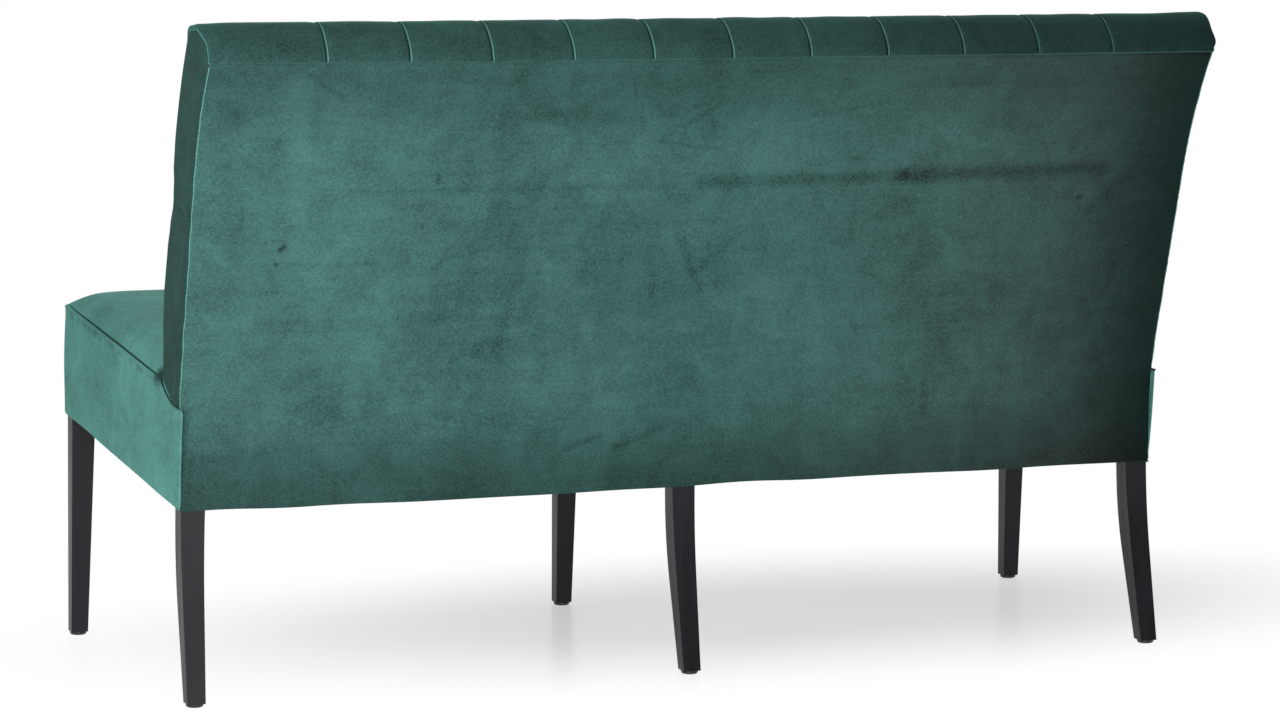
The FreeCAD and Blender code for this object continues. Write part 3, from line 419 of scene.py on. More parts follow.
def back_shading(tree, plain):
    """Rubbed lines of the pile, and painted shade that darkens the panel towards its edges: under the
    overhanging roll, towards the end away from the light and towards its lower edge.
    """
    x, _, z = split(tree, plain)
    dim = spread(tree, z, 0.262, 0.42, 0.50, 1.0)
    for value, low, high, at_low, at_high in ((z, 0.77, 0.89, 1.0, 0.66), (x, -0.70, -0.28, 0.56, 1.0),
                                              (x, -0.76, -0.57, 0.28, 1.0), (x, 0.5, 0.72, 1.0, 0.92)):
        dim = times(tree, dim, spread(tree, value, low, high, at_low, at_high))
    flat = vectors(tree, "MULTIPLY", plain, (1.0, 0.0, 1.0))
    total = 0.0
    for start, end, width, strength in rubbed:
        mark = stroke(tree, flat, start, end, width, stroke_strength * strength)
        total = add(tree, total, mark)
    # painted shade: towards the end that lies away from the light the colour is also made greyer
    grey = times(tree, spread(tree, x, -0.60, 0.05, 1.0, 0.1),
                spread(tree, x, -0.76, -0.60, 0.0, 1.0))
    return total, dim, grey


def wedge_shade(tree, plain):
    """Little light reaches the wedge between the side of the back and the end of the seat."""
    wedge = (half_back + 2.0 * mm, *seat_point(0.110, 0.169))
    gap = vectors(tree, "DISTANCE", vectors(tree, "ABSOLUTE", plain), wedge)
    return spread(tree, gap, 3.0 * mm, 28.0 * mm, 0.10, 1.0)


def border_shading(tree, plain):
    """Below the stitched edge of the seat the puckered cloth lies in a soft, uneven shade."""
    height = vectors(tree, "DOT_PRODUCT", plain, (0.0, math.sin(seat_tilt), math.cos(seat_tilt)))
    edge = rear_face_y * math.sin(seat_tilt) + underside_z * math.cos(seat_tilt) + seat_height
    below = minus(tree, edge, height)
    lump = noise(tree, object_place(tree, (30.0, 30.0, 12.0)), 1.0, 3.0, 0.6)
    band = times(tree, spread(tree, below, 3.6 * mm, 5.0 * mm),
                spread(tree, below, 6.0 * mm, 17.0 * mm, 1.0, 0.0))
    shade = times(tree, band, spread(tree, lump, 0.36, 0.62, -0.9, 0.1))
    low = spread(tree, minus(tree, seat_height, below), 0.0, 0.06, 0.35, 0.0)
    return add(tree, shade, low), wedge_shade(tree, plain), None


def seat_shading(tree, plain):
    return 0.0, wedge_shade(tree, plain), None


def pleat_shading(tree, plain):
    """Painted highlights and shade along the pleats' edges over the roll, and painted shade that darkens the
    roll towards one end, away from the light.
    """
    x, _, z = split(tree, plain)
    # painted highlight on the standing edge of each pleat, painted shade on the cloth before it
    count = add(tree, sums(tree, "DIVIDE", x, pitch), 6.5)
    place = times(tree, minus(tree, sums(tree, "FRACT", count), 0.5), pitch)
    pleat_edge_highlight = spread(tree, sums(tree, "ABSOLUTE", add(tree, place, 0.8 * mm)),
                         0.2 * mm, 1.3 * mm, 3.6, 0.0)
    shade = spread(tree, sums(tree, "ABSOLUTE", minus(tree, place, 1.8 * mm)),
                   0.5 * mm, 2.0 * mm, -1.6, 0.0)
    over = spread(tree, z, 0.880, 0.905)
    inside = spread(tree, sums(tree, "ABSOLUTE", x), 0.64, 0.66, 1.0, 0.0)
    line = times(tree, add(tree, pleat_edge_highlight, shade), times(tree, over, inside))
    return line, spread(tree, x, -0.76, 0.1, 0.46, 1.0), None


# Other materials

def wood(name, dark, light, grain_scale, roughness, bump_depth, gloss=0.5):
    material, tree, shader = new_material(name)
    grain = noise(tree, object_place(tree, (1.0, 1.0, 0.06)), grain_scale, 8.0, 0.65, 1.2)
    pores = noise(tree, object_place(tree, (1.0, 1.0, 0.03)), grain_scale * 6.0, 3.0, 0.7)
    share = add(tree, times(tree, spread(tree, grain, 0.35, 0.65), 0.7),
                 times(tree, pores, 0.3))
    feed(tree, shader, {"Base Color": mixed(tree, share, dark, light), "Specular IOR Level": gloss,
                        "Roughness": spread(tree, grain, 0.3, 0.7, roughness - 0.06, roughness + 0.08)})
    bumped(tree, shader, pores, 0.25, bump_depth)
    return material


def woven(name, dark, light, scale):
    material, tree, shader = new_material(name)
    place = object_place(tree)
    bands = []
    for way in ("X", "Y"):
        node = added(tree, "TexWave", {"Vector": place, "Scale": scale, "Distortion": 0.6})
        node.bands_direction = way
        bands.append(node.outputs["Fac"])
    weave = times(tree, bands[0], bands[1])
    feed(tree, shader, {"Base Color": mixed(tree, weave, dark, light), "Roughness": 0.9})
    bumped(tree, shader, weave, 0.5, 0.3 * mm)
    return material


def grainy(name, dark, light, scale, roughness, metal=0.0, depth=0.1 * mm):
    material, tree, shader = new_material(name)
    fine = noise(tree, object_place(tree), scale, 4.0, 0.6)
    feed(tree, shader, {"Base Color": mixed(tree, fine, dark, light), "Roughness": roughness,
                        "Metallic": metal})
    bumped(tree, shader, fine, 0.3, depth)
    return material


# The seat, its border, the back, the roll and the sides get copies of one velvet whose brightness differs
# partly with the lie of the pile and partly as painted light and shade, for how the light falls on each piece
velvet_light = velvet("velvet_light", linear(92, 149, 141), shading=seat_shading)
velvet_back = velvet("velvet_back", linear(66, 108, 103), 0.30, back_shading)
velvet_deep = velvet("velvet_deep", linear(48, 80, 76), 0.32, pleat_shading)
velvet_side = velvet("velvet_side", linear(42, 70, 66), 0.34, sheen=0.12)
# Painted highlight: a lighter copy of the velvet for the side seams' folded edges
velvet_highlit_edge = velvet("velvet_highlit_edge", linear(98, 158, 147), 0.15)
# Painted highlight: a lighter copy for the folded edges of the roll's ends
velvet_highlit_fold = velvet("velvet_highlit_fold", linear(84, 140, 130), 0.18)
# Painted highlight: a lighter line where the roll folds under at its rear seam
velvet_highlit_line = velvet("velvet_highlit_line", linear(54, 90, 85), 0.3)
# Painted shade: a dark copy for the grooves of the seams, partly crushed pile
velvet_seam_shade = velvet("velvet_seam_shade", linear(26, 42, 40), 0.2)
velvet_border = velvet("velvet_border", linear(92, 149, 141), shading=border_shading)

# Each slot's material: how it is made, its dark and its light colour, and further settings
slot_looks = [
    ("dark_wood", wood, (15, 13, 18), (27, 24, 32), 26.0, 0.42, 0.12 * mm, 0.3),
    ("beech", wood, (176, 132, 92), (214, 176, 134), 30.0, 0.62, 0.1 * mm),
    ("dowel_wood", wood, (190, 150, 108), (222, 190, 146), 60.0, 0.6, 0.05 * mm),
    ("board", wood, (170, 128, 86), (206, 168, 120), 18.0, 0.6, 0.1 * mm),
    ("screw_steel", grainy, (150, 148, 138), (196, 194, 184), 900.0, 0.32, 1.0),
    ("nail_steel", grainy, (120, 120, 122), (170, 170, 172), 900.0, 0.3, 1.0),
    ("foam", grainy, (205, 190, 145), (232, 222, 180), 700.0, 0.95, 0.0, 0.5 * mm),
    ("twine", woven, (150, 135, 105), (205, 190, 155), 900.0),
    ("lining", grainy, (205, 202, 196), (236, 234, 228), 260.0, 0.95, 0.0, 0.4 * mm),
    ("card", grainy, (130, 108, 80), (164, 142, 110), 500.0, 0.85),
    ("webbing", woven, (24, 22, 20), (70, 66, 60), 500.0),
    ("dust_cover", woven, (8, 8, 9), (34, 34, 36), 420.0),
    ("glide_plastic", grainy, (16, 16, 18), (34, 34, 37), 1500.0, 0.35),
]
slot_materials = {"velvet": velvet_deep}
for slot_name, build, dark_rgb, light_rgb, *settings in slot_looks:
    slot_materials[slot_name] = build(slot_name, linear(*dark_rgb), linear(*light_rgb), *settings)
node_slots = {part["node"]: part["material_slot"] for part in frame["record"]["subparts"]}
for node_name, node in nodes.items():
    node.data.materials.clear()
    node.data.materials.append(slot_materials[node_slots[node_name]])


# Outside back: one large panel, sewn along its side edges, hemmed below

panel_cloth = 1.8 * mm
panel_edge = 2.0 * mm
panel_top = curve_end + 0.5 * mm

# The creases that the cloth has taken: (x, s) of both ends, half width and depth in mm
outside_creases = [
    ((-0.08, 0.452), (-0.62, 0.458), 4.0, 0.7), ((0.16, 0.105), (0.06, 0.062), 5.0, 0.7),
    ((0.14, 0.075), (0.05, 0.045), 4.0, 0.6), ((0.10, 0.135), (-0.02, 0.085), 6.0, 0.5),
    ((0.66, 0.10), (0.52, 0.02), 9.0, 0.9), ((0.70, 0.17), (0.60, 0.05), 8.0, 0.7),
    ((-0.70, 0.16), (-0.56, 0.03), 9.0, 0.8), ((0.05, 0.05), (0.01, 0.005), 7.0, 0.8),
    ((-0.06, 0.06), (-0.02, 0.005), 7.0, 0.8), ((0.62, 0.63), (0.50, 0.56), 6.0, 0.6),
    ((0.30, 0.64), (0.22, 0.60), 5.0, 0.4), ((-0.30, 0.64), (-0.38, 0.59), 5.0, 0.4),
    ((0.73, 0.61), (0.69, 0.55), 5.0, 0.6), ((-0.72, 0.60), (-0.66, 0.50), 6.0, 0.5),
]


def seam_rise(x):
    """The rear seam runs up a little towards the sitter's left."""
    return 3.2 * mm * smooth((x - 0.30) / 0.40)


def panel_half(s):
    """Half the width of the outside panel, which narrows a little below the roll."""
    return 754.3 * mm - 1.5 * mm * smooth((s - 0.58) / 0.08)


def columns_across(half, step, edge_radius, edge_steps):
    """x and how far round the side edge, as an angle, of the columns of a panel."""
    flat = half - edge_radius
    count = int(round(2.0 * flat / step))
    xs = list(np.linspace(-flat, flat, count + 1))
    turns = [0.0] * len(xs)
    for k in range(1, edge_steps + 1):
        turn = math.pi / 2.0 * k / edge_steps
        xs.append(flat + edge_radius * math.sin(turn))
        turns.append(turn)
        xs.insert(0, -xs[-1])
        turns.insert(0, turn)
    return np.array(xs), np.array(turns)


def rows_up_panel():
    """s and depth of the rows of the panel, from its turned lower edge to the seam under the roll."""
    edge, tucked = panel_edge, 7.0 * mm
    rows = [(edge - edge * math.cos(a), edge - edge * math.sin(a)) for a in np.linspace(0.0, math.pi / 2, 6)]
    stations = np.concatenate([np.linspace(edge, panel_top - 8.0 * mm, 165)[1:],
                               np.linspace(panel_top - tucked, panel_top, 8)])
    rows += [(s, 2.3 * mm * float(smooth((s - panel_top + tucked) / tucked))) for s in stations]
    return np.array(rows)


def panel_hem(x, bay):
    """How far the lower edge lies above the panel's first row: it hangs lower between the legs."""
    hem = -2.6 * mm * bay + 0.7 * mm * ripples(x, 0.0 * x, 0.19, 3)
    # it hangs a little lower towards the sitter's left
    return hem - 2.3 * mm * smooth((x + 0.15) / 0.25) + 1.4 * mm * np.exp(-((x + 0.36) / 0.14) ** 2)


def panel_lift(x, s, bay):
    """How far the cloth stands off the frame, with its slight waves and creases."""
    lift = 1.2 * mm + 1.0 * mm * bay * smooth(s / 0.12)
    lift = lift + 0.35 * mm * ripples(x, s, 0.23, 11) + 0.14 * mm * ripples(x, 2.0 * s, 0.09, 12)
    for start, end, width, deep in outside_creases:
        lift = lift + crease(x, s, start, end, width * mm, deep * mm)
    return np.maximum(lift, -0.3 * mm)


def outside_back():
    xs, turns = columns_across(half_back, 4.0 * mm, panel_edge, 5)
    rows = rows_up_panel()
    s = rows[:, :1]
    depth = rows[:, 1:] + (panel_edge * (1.0 - np.cos(turns)))[None, :]
    x = xs[None, :] * panel_half(s) / half_back
    bay = np.sin(math.pi * np.abs(x) / half_back) ** 2
    s = s + panel_hem(x, bay) * np.exp(-s / 0.05) + seam_rise(x) * smooth((s - 0.6) / (panel_top - 0.6))
    inside = smooth((half_back - np.abs(x)) / 0.03) * smooth(s / 0.03)
    inside = inside * smooth((panel_top - 6.0 * mm - s) / 0.02)
    y, z = back_point(s, depth - panel_lift(x, s, bay) * inside)
    points = np.stack([x, y, z], axis=-1)[:, ::-1]
    panel = cloth_piece("outside_back_velvet", points, velvet_back, panel_cloth)
    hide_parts("outside_back_cover")


outside_back()


def side_seams():
    """The edge that is sewn by hand, a thin puckered fold on each side, in a lighter velvet that paints a
    highlight on the fold.
    """
    stitch = 7.0 * mm
    s = np.linspace(4.0 * mm, curve_end - 2.0 * mm, 420)
    for side, name in ((1.0, "side_seam_left"), (-1.0, "side_seam_right")):
        wobble = 0.25 * mm * ripples(s, 0.0 * s, 0.03, 21)
        y, z = back_point(s, 1.0 * mm + wobble)
        x = side * (panel_half(s) + 0.35 * mm * ripples(s, 0.0 * s, 0.035, 22))
        radii = 0.8 * mm + 0.2 * mm * np.cos(2.0 * math.pi * s / stitch)
        strand_piece(name, np.stack([x, y, z], axis=-1), radii, velvet_highlit_edge)


side_seams()


# Tufted cover: one cloth over the front, both sides and the top, down to the rear seam

Row = namedtuple("Row", "base way crest fold edge gap s turn")

cover_cloth = 1.6 * mm
fold_gap = 2.5 * mm
front_rows, roll_rows, seam_rows = 160, 55, 8
lip_turn = math.radians(27.0)        # of the roll, where the side's fold begins
fold_row = front_rows + int(lip_turn / roll_turn * roll_rows)
wall_columns = 26
corner_columns = 8
wall_foot_s = 0.1465
wall_top_s = curve_end - 1.0 * mm
seam_lean = float(back_curve(curve_end)[2])
dimple_depth = 5.0 * mm
dimple_reach = 17.0 * mm
thinnest_pad = 6.0 * mm
full_tuft = 60.0 * mm                # a tuft that is narrower than this stays lower
puff_power = 0.42
fold_cut = 1.0 * mm                  # how much deeper the cloth lies right beside a pleat
end_tilt = 1.4 * mm                  # half the difference between the heights of the roll's ends
end_reach = 45.0 * mm                # over which the outer pleats run into the ends
roll_flat = 3.8 * mm                 # how much lower the cloth lies at the top of the roll
side_fold = 0.3                      # share of the columns that go round the end's folded edge
side_bow = 9.5 * mm
side_fold_front = (rear_face_y - 5.0 * mm, 0.708)
side_fold_rear = (rear_face_y + 62.0 * mm, 0.694)
button_rows = (("lower", middle_row_s - row_pitch, top_count), ("middle", middle_row_s, top_count + 1),
               ("upper", middle_row_s + row_pitch, top_count))

# Distances s of the stations up the front, then heights over the flat foam in mm
first_s = 0.154
brow_s = rail_head_s - roll_drop
station_s = [first_s, 0.200, 0.260, 0.340, 0.3825, 0.425, 0.4675, 0.510, 0.548, 0.6095, brow_s]
crest_mm = [16.0, 31.0, 44.0, 45.0, 44.0, 45.0, 44.0, 45.0, 42.0, 40.0, 39.0]
fold_mm = [13.0, 25.0, 35.0, 13.0, 29.0, 13.0, 29.0, 13.0, 33.0, 35.0, 34.0]
gap_m = [fold_gap, fold_gap, fold_gap, fold_gap, pitch / 4.0, pitch / 2.0 - fold_gap, pitch / 4.0,
         fold_gap, fold_gap, fold_gap, fold_gap]
edge_s = [first_s, 0.165, 0.192, 0.238, 0.277, 0.303, 0.343, 0.378, 0.415, 0.444, 0.467, 0.503, 0.576, brow_s]
edge_mm = [19.0, 23.0, 31.0, 43.5, 48.0, 46.5, 44.0, 38.0, 29.0, 33.0, 40.0, 42.5, 41.0, 39.0]


def places_across(count):
    """x of the buttons or folds of a row."""
    return pitch * (np.arange(count) - (count - 1) / 2.0)


def roll_point(turn, radius):
    """(y, z) over the roll, from the upper front corner of the board along and square to the top rail."""
    y, z = (float(v) for v in back_point(rail_head_s, board_front))
    lean = float(back_curve(rail_head_s)[2])
    behind = roll_centre - radius * math.cos(turn)
    above = radius * math.sin(turn) - roll_drop
    return (y + behind * math.cos(lean) + above * math.sin(lean),
            z - behind * math.sin(lean) + above * math.cos(lean))


def between(value, stops, heights):
    """Smooth interpolation through a short list of stops."""
    value = np.asarray(value, float)
    result = np.full(value.shape, heights[0])
    for low, high, start, end in zip(stops, stops[1:], heights, heights[1:]):
        part = smooth((value - low) / (high - low))
        result = np.where(value >= low, start + (end - start) * part, result)
    return result


def crown_share(turn):
    """How far over the roll, from 0 at its brow and its seam to 1 at its top."""
    return float(smooth((turn - 0.40) / 0.42) * (1.0 - smooth((turn - 1.75) / 0.66)))


def end_radius(turn):
    return 6.0 * mm - 2.5 * mm * float(smooth(turn / lip_turn))


def lip_shift(turn, sign):
    """How far the folded end of the roll stands out beyond the sides, less near the seam."""
    if sign > 0.0:
        back_in = smooth((turn - 1.40) / 0.65)
    else:
        back_in = smooth((turn - 2.2) / 0.25) + 0.36 * math.exp(-((turn - 1.90) / 0.26) ** 2)
        back_in -= 0.40 * math.exp(-((turn - 1.25) / 0.28) ** 2)
    return 2.6 * mm * float(smooth(turn / lip_turn)) - 5.8 * mm * min(float(back_in), 1.0)


def tufted_rows():
    """The rows up the front and over the top."""
    rows = []
    for s in np.linspace(first_s, brow_s, front_rows):
        y, z, angle = (float(v) for v in back_curve(s))
        base = (y - pad_base * math.cos(angle), z + pad_base * math.sin(angle))
        crest, fold = (float(between(s, station_s, h)) * mm for h in (crest_mm, fold_mm))
        edge = float(between(s, edge_s, edge_mm)) * mm
        gap = float(np.interp(s, station_s, gap_m))
        rows.append(Row(base, (-math.cos(angle), math.sin(angle)), crest, fold, edge, gap, s, 0.0))
    centre = roll_point(0.0, 0.0)
    for turn in np.linspace(0.0, roll_turn, roll_rows + 1)[1:]:
        outer = roll_point(turn, 1.0)
        way = (outer[0] - centre[0], outer[1] - centre[1])
        radius = roll_radius - roll_flat * crown_share(turn)
        fold = radius - 5.0 * mm + 3.2 * mm * float(smooth(turn / 0.7))
        rows.append(Row(centre, way, radius, fold, radius, fold_gap, brow_s, turn))
    return rows


def tuft_height(k, shares, width, low, high, row):
    """Height of the cloth between two folds, where it is drawn in by buttons."""
    if k in (0, top_count):
        line = low + (high - low) * shares
        top = np.maximum(line, row.crest - 2.0 * mm * (row.turn == 0.0))
        return line + (top - line) * np.sin(math.pi * shares) ** 0.6
    puff = np.clip(4.0 * shares * (1.0 - shares), 0.0, 1.0) ** puff_power
    return row.fold + (row.crest - row.fold) * puff * min(width / full_tuft, 1.0)


def pleat_height(k, shares, width, low, high, row):
    """Height of the cloth of a pleat: high on its side towards -X, running in low from the other side."""
    reach = 10.0 * mm - 6.0 * mm * float(smooth(row.turn / 0.7))
    rises = shares * width if k else np.full(shares.shape, 1.0)
    falls = (1.0 - shares) * width if k < top_count else np.full(shares.shape, 1.0)
    level = row.crest
    if k == 0:
        level = row.crest + (low - row.crest) * smooth(1.0 - shares * width / end_reach)
    if k == top_count:
        level = row.crest + (high - row.crest) * smooth(1.0 - (1.0 - shares) * width / end_reach)
    return (level - (row.crest - row.fold) * np.exp(-rises / reach)
            - 0.5 * mm * np.exp(-falls / (6.0 * mm)))


def tufted_heights(row):
    """x and height of the columns of one row, from end to end."""
    crest, fold, gap = row.crest, row.fold, row.gap
    places = places_across(top_count)
    inner = np.sin(np.linspace(-math.pi / 2.0, math.pi / 2.0, 17))
    shares = (1.0 - np.cos(np.linspace(0.0, math.pi, 19))) / 2.0
    tufted = float(smooth((row.s - 0.27) / 0.06) * smooth((0.55 - row.s) / 0.035))
    end_x = half_back - end_radius(row.turn)
    xs, hs = [], []
    for k in range(top_count + 1):
        start = -end_x if k == 0 else places[k - 1] + gap
        stop = end_x if k == top_count else places[k] - gap
        low = row.edge + end_tilt * crown_share(row.turn) if k == 0 else fold
        high = row.edge - end_tilt * crown_share(row.turn) if k == top_count else fold
        width = max(stop - start, 1e-6)
        h = (tufted * tuft_height(k, shares, width, low, high, row)
             + (1.0 - tufted) * pleat_height(k, shares, width, low, high, row))
        first = 0 if k == 0 else 1
        xs += list((start + (stop - start) * shares)[first:])
        hs += list(h[first:])
        if k < top_count:
            # the strip that goes down into the fold and up again
            wide = min(2.0 * gap / full_tuft, 1.0)
            dome = fold + (crest - fold) * np.clip(1.0 - inner ** 2, 0.0, 1.0) ** puff_power * wide
            foot = fold - fold_cut
            step = foot + (crest - 0.2 * mm - fold + fold_cut) * smooth((0.1 - inner) / 0.7)
            step = np.where(inner > 0.1, foot + fold_cut * smooth((inner - 0.1) / 0.9), step)
            xs += list(places[k] + gap * inner[1:])
            hs += list((tufted * dome + (1.0 - tufted) * step)[1:])
    return np.array(xs), np.array(hs)


def front_line(index, row):
    """x and height of a row, with the hollows round the buttons and a little unevenness."""
    xs, hs = tufted_heights(row)
    for _, row_s, count in button_rows:
        if row.turn == 0.0 and abs(row.s - row_s) < 0.06:
            for button in places_across(count):
                apart = np.hypot(xs - button, (row.s - row_s) * 1.15)
                hs = hs - dimple_depth * np.exp(-(apart / dimple_reach) ** 2) * (hs / row.crest)
    inside = smooth((half_back - 10.0 * mm - np.abs(xs)) / 0.03)
    uneven = 0.3 * mm * ripples(xs, np.full(xs.shape, index * 3.0 * mm), 0.07, 31)
    return xs, np.maximum(hs, thinnest_pad) + uneven * inside


def over_row(row, x, h):
    return x, row.base[0] + row.way[0] * h, row.base[1] + row.way[1] * h


def rounded_end(row, h_end):
    """x, y, z and height of the columns that go round from the front to a side."""
    radius = end_radius(row.turn)
    columns = []
    for a in np.linspace(0.0, math.pi / 2.0, corner_columns + 1)[1:]:
        h = h_end - radius * (1.0 - math.cos(a))
        x = half_back - radius * (1.0 - math.sin(a))
        columns.append(over_row(row, x, h) + (h,))
    return columns


def side_pucker(y, z, v):
    """Unevenness of the side cloth, and its pleat level with the middle row."""
    wave = 0.30 * mm * float(ripples(y, z, 0.012, 61)) * float(smooth((v - 0.7) / 0.3))
    soft = 0.5 * mm * float(ripples(y, z, 0.09, 62)) * math.sin(math.pi * min(v, 1.0))
    fold = float(crease(y, z, side_fold_front, side_fold_rear, 4.5 * mm, 1.6 * mm))
    return wave + soft + fold


def side_wall(u, start, first, last, lip_height):
    """x, y and z across the side of the back, from its front edge to the side seam.

    u is the share of its height; start, first and last are places on the front edge: here, at the
    foot and at the top. lip_height(turn) is the height of the roll's end."""
    rear_s = wall_foot_s + (wall_top_s - wall_foot_s) * u
    rear_low, rear_high, rear = (np.array([float(q) for q in back_point(s, cover_cloth)])
                                 for s in (wall_foot_s, wall_top_s, rear_s))
    columns = []
    for v in np.linspace(0.0, 1.0, wall_columns + 1)[1:]:
        bow = np.array([0.0, -side_bow]) * math.sin(math.pi * v) ** 0.7
        low = first + (rear_low - first) * v + bow
        arc = [np.array(roll_point(turn, lip_height(turn) - 0.9 * mm))
               for turn in (lip_turn, lip_turn + (roll_turn - lip_turn) * v, roll_turn)]
        high = arc[1] + (1.0 - v) * (last - arc[0]) + v * (rear_high - arc[2])
        spot = (1.0 - u) * low + u * high + (1.0 - v) * start + v * rear - (
            (1.0 - u) * (1.0 - v) * first + (1.0 - u) * v * rear_low
            + u * (1.0 - v) * last + u * v * rear_high)
        inward = 3.0 * mm * float(smooth((u - 0.86) / 0.14)) * float(smooth(v / 0.12))
        inward += 3.0 * mm * float(smooth((0.02 - u) / 0.02))
        out = half_back + 1.2 * mm * float(smooth(1.0 - v * 1.4))
        out += (float(panel_half(rear_s)) - half_back - 0.4 * mm) * float(smooth((v - 0.75) / 0.25))
        out += side_pucker(spot[0], spot[1], v) * float(smooth(v * 8.0))
        # never inside the ends of the foam and the board
        least = half_back - (3.0 if u > 0.02 else 6.0) * mm
        columns.append((max(out - inward, least), spot[0], spot[1]))
    return columns


def folded_lip(row, h_end, x_end):
    """x, y and z across the end of the roll, whose cloth is folded under."""
    columns = []
    for v in np.linspace(0.0, 1.0, wall_columns + 1)[1:]:
        a = math.pi * min(v / side_fold, 1.0)
        under = max(v - side_fold, 0.0) / (1.0 - side_fold)
        h = h_end - 0.7 * mm * (1.0 - math.cos(a))
        x = x_end + 0.5 * mm * math.sin(a) - 15.0 * mm * under
        columns.append(over_row(row, x, h))
    return columns


def lifted_with_seam(line, turn):
    """The roll runs up with the rear seam."""
    over = float(smooth((turn - 0.8) / 0.6))
    rise = seam_rise(line[:, 0]) * (1.2 * over - 0.2 * float(smooth((turn - 1.9) / 0.5)))
    line[:, 1] += rise * math.sin(seam_lean)
    line[:, 2] += rise * math.cos(seam_lean)
    return line


def tufted_grid():
    """The points of the whole cover: rows from the seat over the top, columns from side to side."""
    rows = tufted_rows()
    lines = [front_line(index, row) for index, row in enumerate(rows)]
    ends = [[rounded_end(row, hs[0]), rounded_end(row, hs[-1])] for row, (_, hs) in zip(rows, lines)]
    turns = [row.turn for row in rows[fold_row:]]
    grid = []
    for index, row in enumerate(rows):
        xs, hs = lines[index]
        front = [over_row(row, x, h) for x, h in zip(xs, hs)]
        sides = []
        for end, sign in ((0, -1.0), (1, 1.0)):
            corner = ends[index][end]
            flare = lip_shift(row.turn, sign)
            side = [(x + flare, y, z) for x, y, z, _ in corner]
            if index <= fold_row:
                lips = [ends[i][end][-1][3] for i in range(fold_row, len(rows))]
                first, last = (np.array(ends[i][end][-1][1:3]) for i in (0, fold_row))
                side += side_wall(index / fold_row, np.array(corner[-1][1:3]), first, last,
                                  lambda turn: np.interp(turn, turns, lips))
            else:
                side += folded_lip(row, corner[-1][3], corner[-1][0] + flare)
            sides.append([(sign * x, y, z) for x, y, z in side])
        grid.append(lifted_with_seam(np.array(sides[0][::-1] + front + sides[1]), row.turn))
    # the lower edge of the roll, folded under along the rear seam
    hem = 1.9 * mm
    last = np.array(grid[-1])
    down = np.array([0.0, -math.sin(seam_lean), -math.cos(seam_lean)])
    inward = np.array([0.0, -math.cos(seam_lean), math.sin(seam_lean)])
    for a in np.linspace(0.0, math.pi, seam_rows + 1)[1:]:
        grid.append(last + down * hem * math.sin(a) + inward * hem * (1.0 - math.cos(a)))
    return np.array(grid)[:, ::-1]


def tufted_cover():
    points = tufted_grid()
    columns = points.shape[1]
    roll_end = front_rows + roll_rows

    def skip(i, j):
        return i == fold_row and (j < wall_columns or j >= columns - 1 - wall_columns)

    def pick(i, j):
        from_end = min(j, columns - 2 - j)
        # painted highlight: the folded edges of the roll's ends get a lighter velvet
        if i > fold_row + 19 and wall_columns - 3 <= from_end < wall_columns + 1:
            return 1
        if i <= fold_row and from_end < wall_columns - 1:
            return 3
        # painted highlight: the rows where the roll folds under at its rear seam get a lighter velvet
        return 2 if roll_end - 1 <= i < roll_end + 1 else 0

    cover = cloth_piece("back_tufted_velvet", points, velvet_deep, cover_cloth, skip,
                        [velvet_highlit_fold, velvet_highlit_line, velvet_side], pick)
    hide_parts("back_tufted_cover", "back_side_cover_left", "back_side_cover_right")


tufted_cover()


# Buttons: radius and height in mm of the rings of the cap, from its top down to its foot

button_rings = [(3.2, 8.4), (6.2, 7.5), (8.6, 5.9), (10.1, 3.9), (10.6, 2.2), (10.0, 0.9), (8.4, 0.0)]
button_height = 8.6
button_skirt = 4.0                   # mm, the height below which the cloth is puckered
button_press = 0.95                  # on all heights of the cap, which is pressed a little flat
button_stand = 8.5 * mm              # of its foot over the flat foam
button_sides = 28


def add_button(points, faces, x, centre, out, up):
    """Adds a covered button: a drawn-in domed cap with a slightly creased skirt."""
    start = len(points)
    foot = centre + Vector((x, 0.0, 0.0))
    for radius, height in button_rings:
        for k in range(button_sides):
            a = 2.0 * math.pi * k / button_sides
            pucker = 1.0 + 0.02 * math.sin(7.0 * a + x * 90.0) * (height < button_skirt)
            spot = foot + out * (height * mm * button_press)
            spot += (Vector((math.cos(a), 0.0, 0.0)) + up * math.sin(a)) * (radius * mm * pucker)
            points.append(spot)
    last = start + (len(button_rings) - 1) * button_sides
    for ring in range(start, last, button_sides):
        for k in range(button_sides):
            a, b = ring + k, ring + (k + 1) % button_sides
            faces.append((a, a + button_sides, b + button_sides, b))
    points += [foot + out * (button_height * mm * button_press), foot]
    for k in range(button_sides):
        n = (k + 1) % button_sides
        faces.append((start + k, start + n, len(points) - 2))
        faces.append((last + n, last + k, len(points) - 1))


def buttons():
    for name, row_s, count in button_rows[::-1]:
        points, faces = [], []
        y, z, angle = (float(v) for v in back_curve(row_s))
        out = Vector((0.0, -math.cos(angle), math.sin(angle)))
        up = Vector((0.0, math.sin(angle), math.cos(angle)))
        centre = Vector((0.0, y, z)) + out * (pad_base + button_stand)
        for x in places_across(count):
            add_button(points, faces, x, centre, out, up)
        points = [tuple(p) for p in points]
        piece = new_piece("buttons_" + name + "_velvet", points, faces, velvet_deep)
        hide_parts("buttons_" + name + "_row")


buttons()


# Seat: border round the front and the ends, crowned top cover

seat_cloth = 1.6 * mm

# Upper edge of the end panels under the back, as u and w in mm, where the back's side comes down
edge_under_back = ([0.0, 10.9, 33.2, 51.4, 67.7, 77.0, 84.2, 91.0, 95.0, 98.0, 101.0, 106.0],
                   [144.5, 142.9, 141.2, 142.8, 147.2, 150.6, 154.0, 157.5, 161.5, 164.6, 165.5, 166.0])

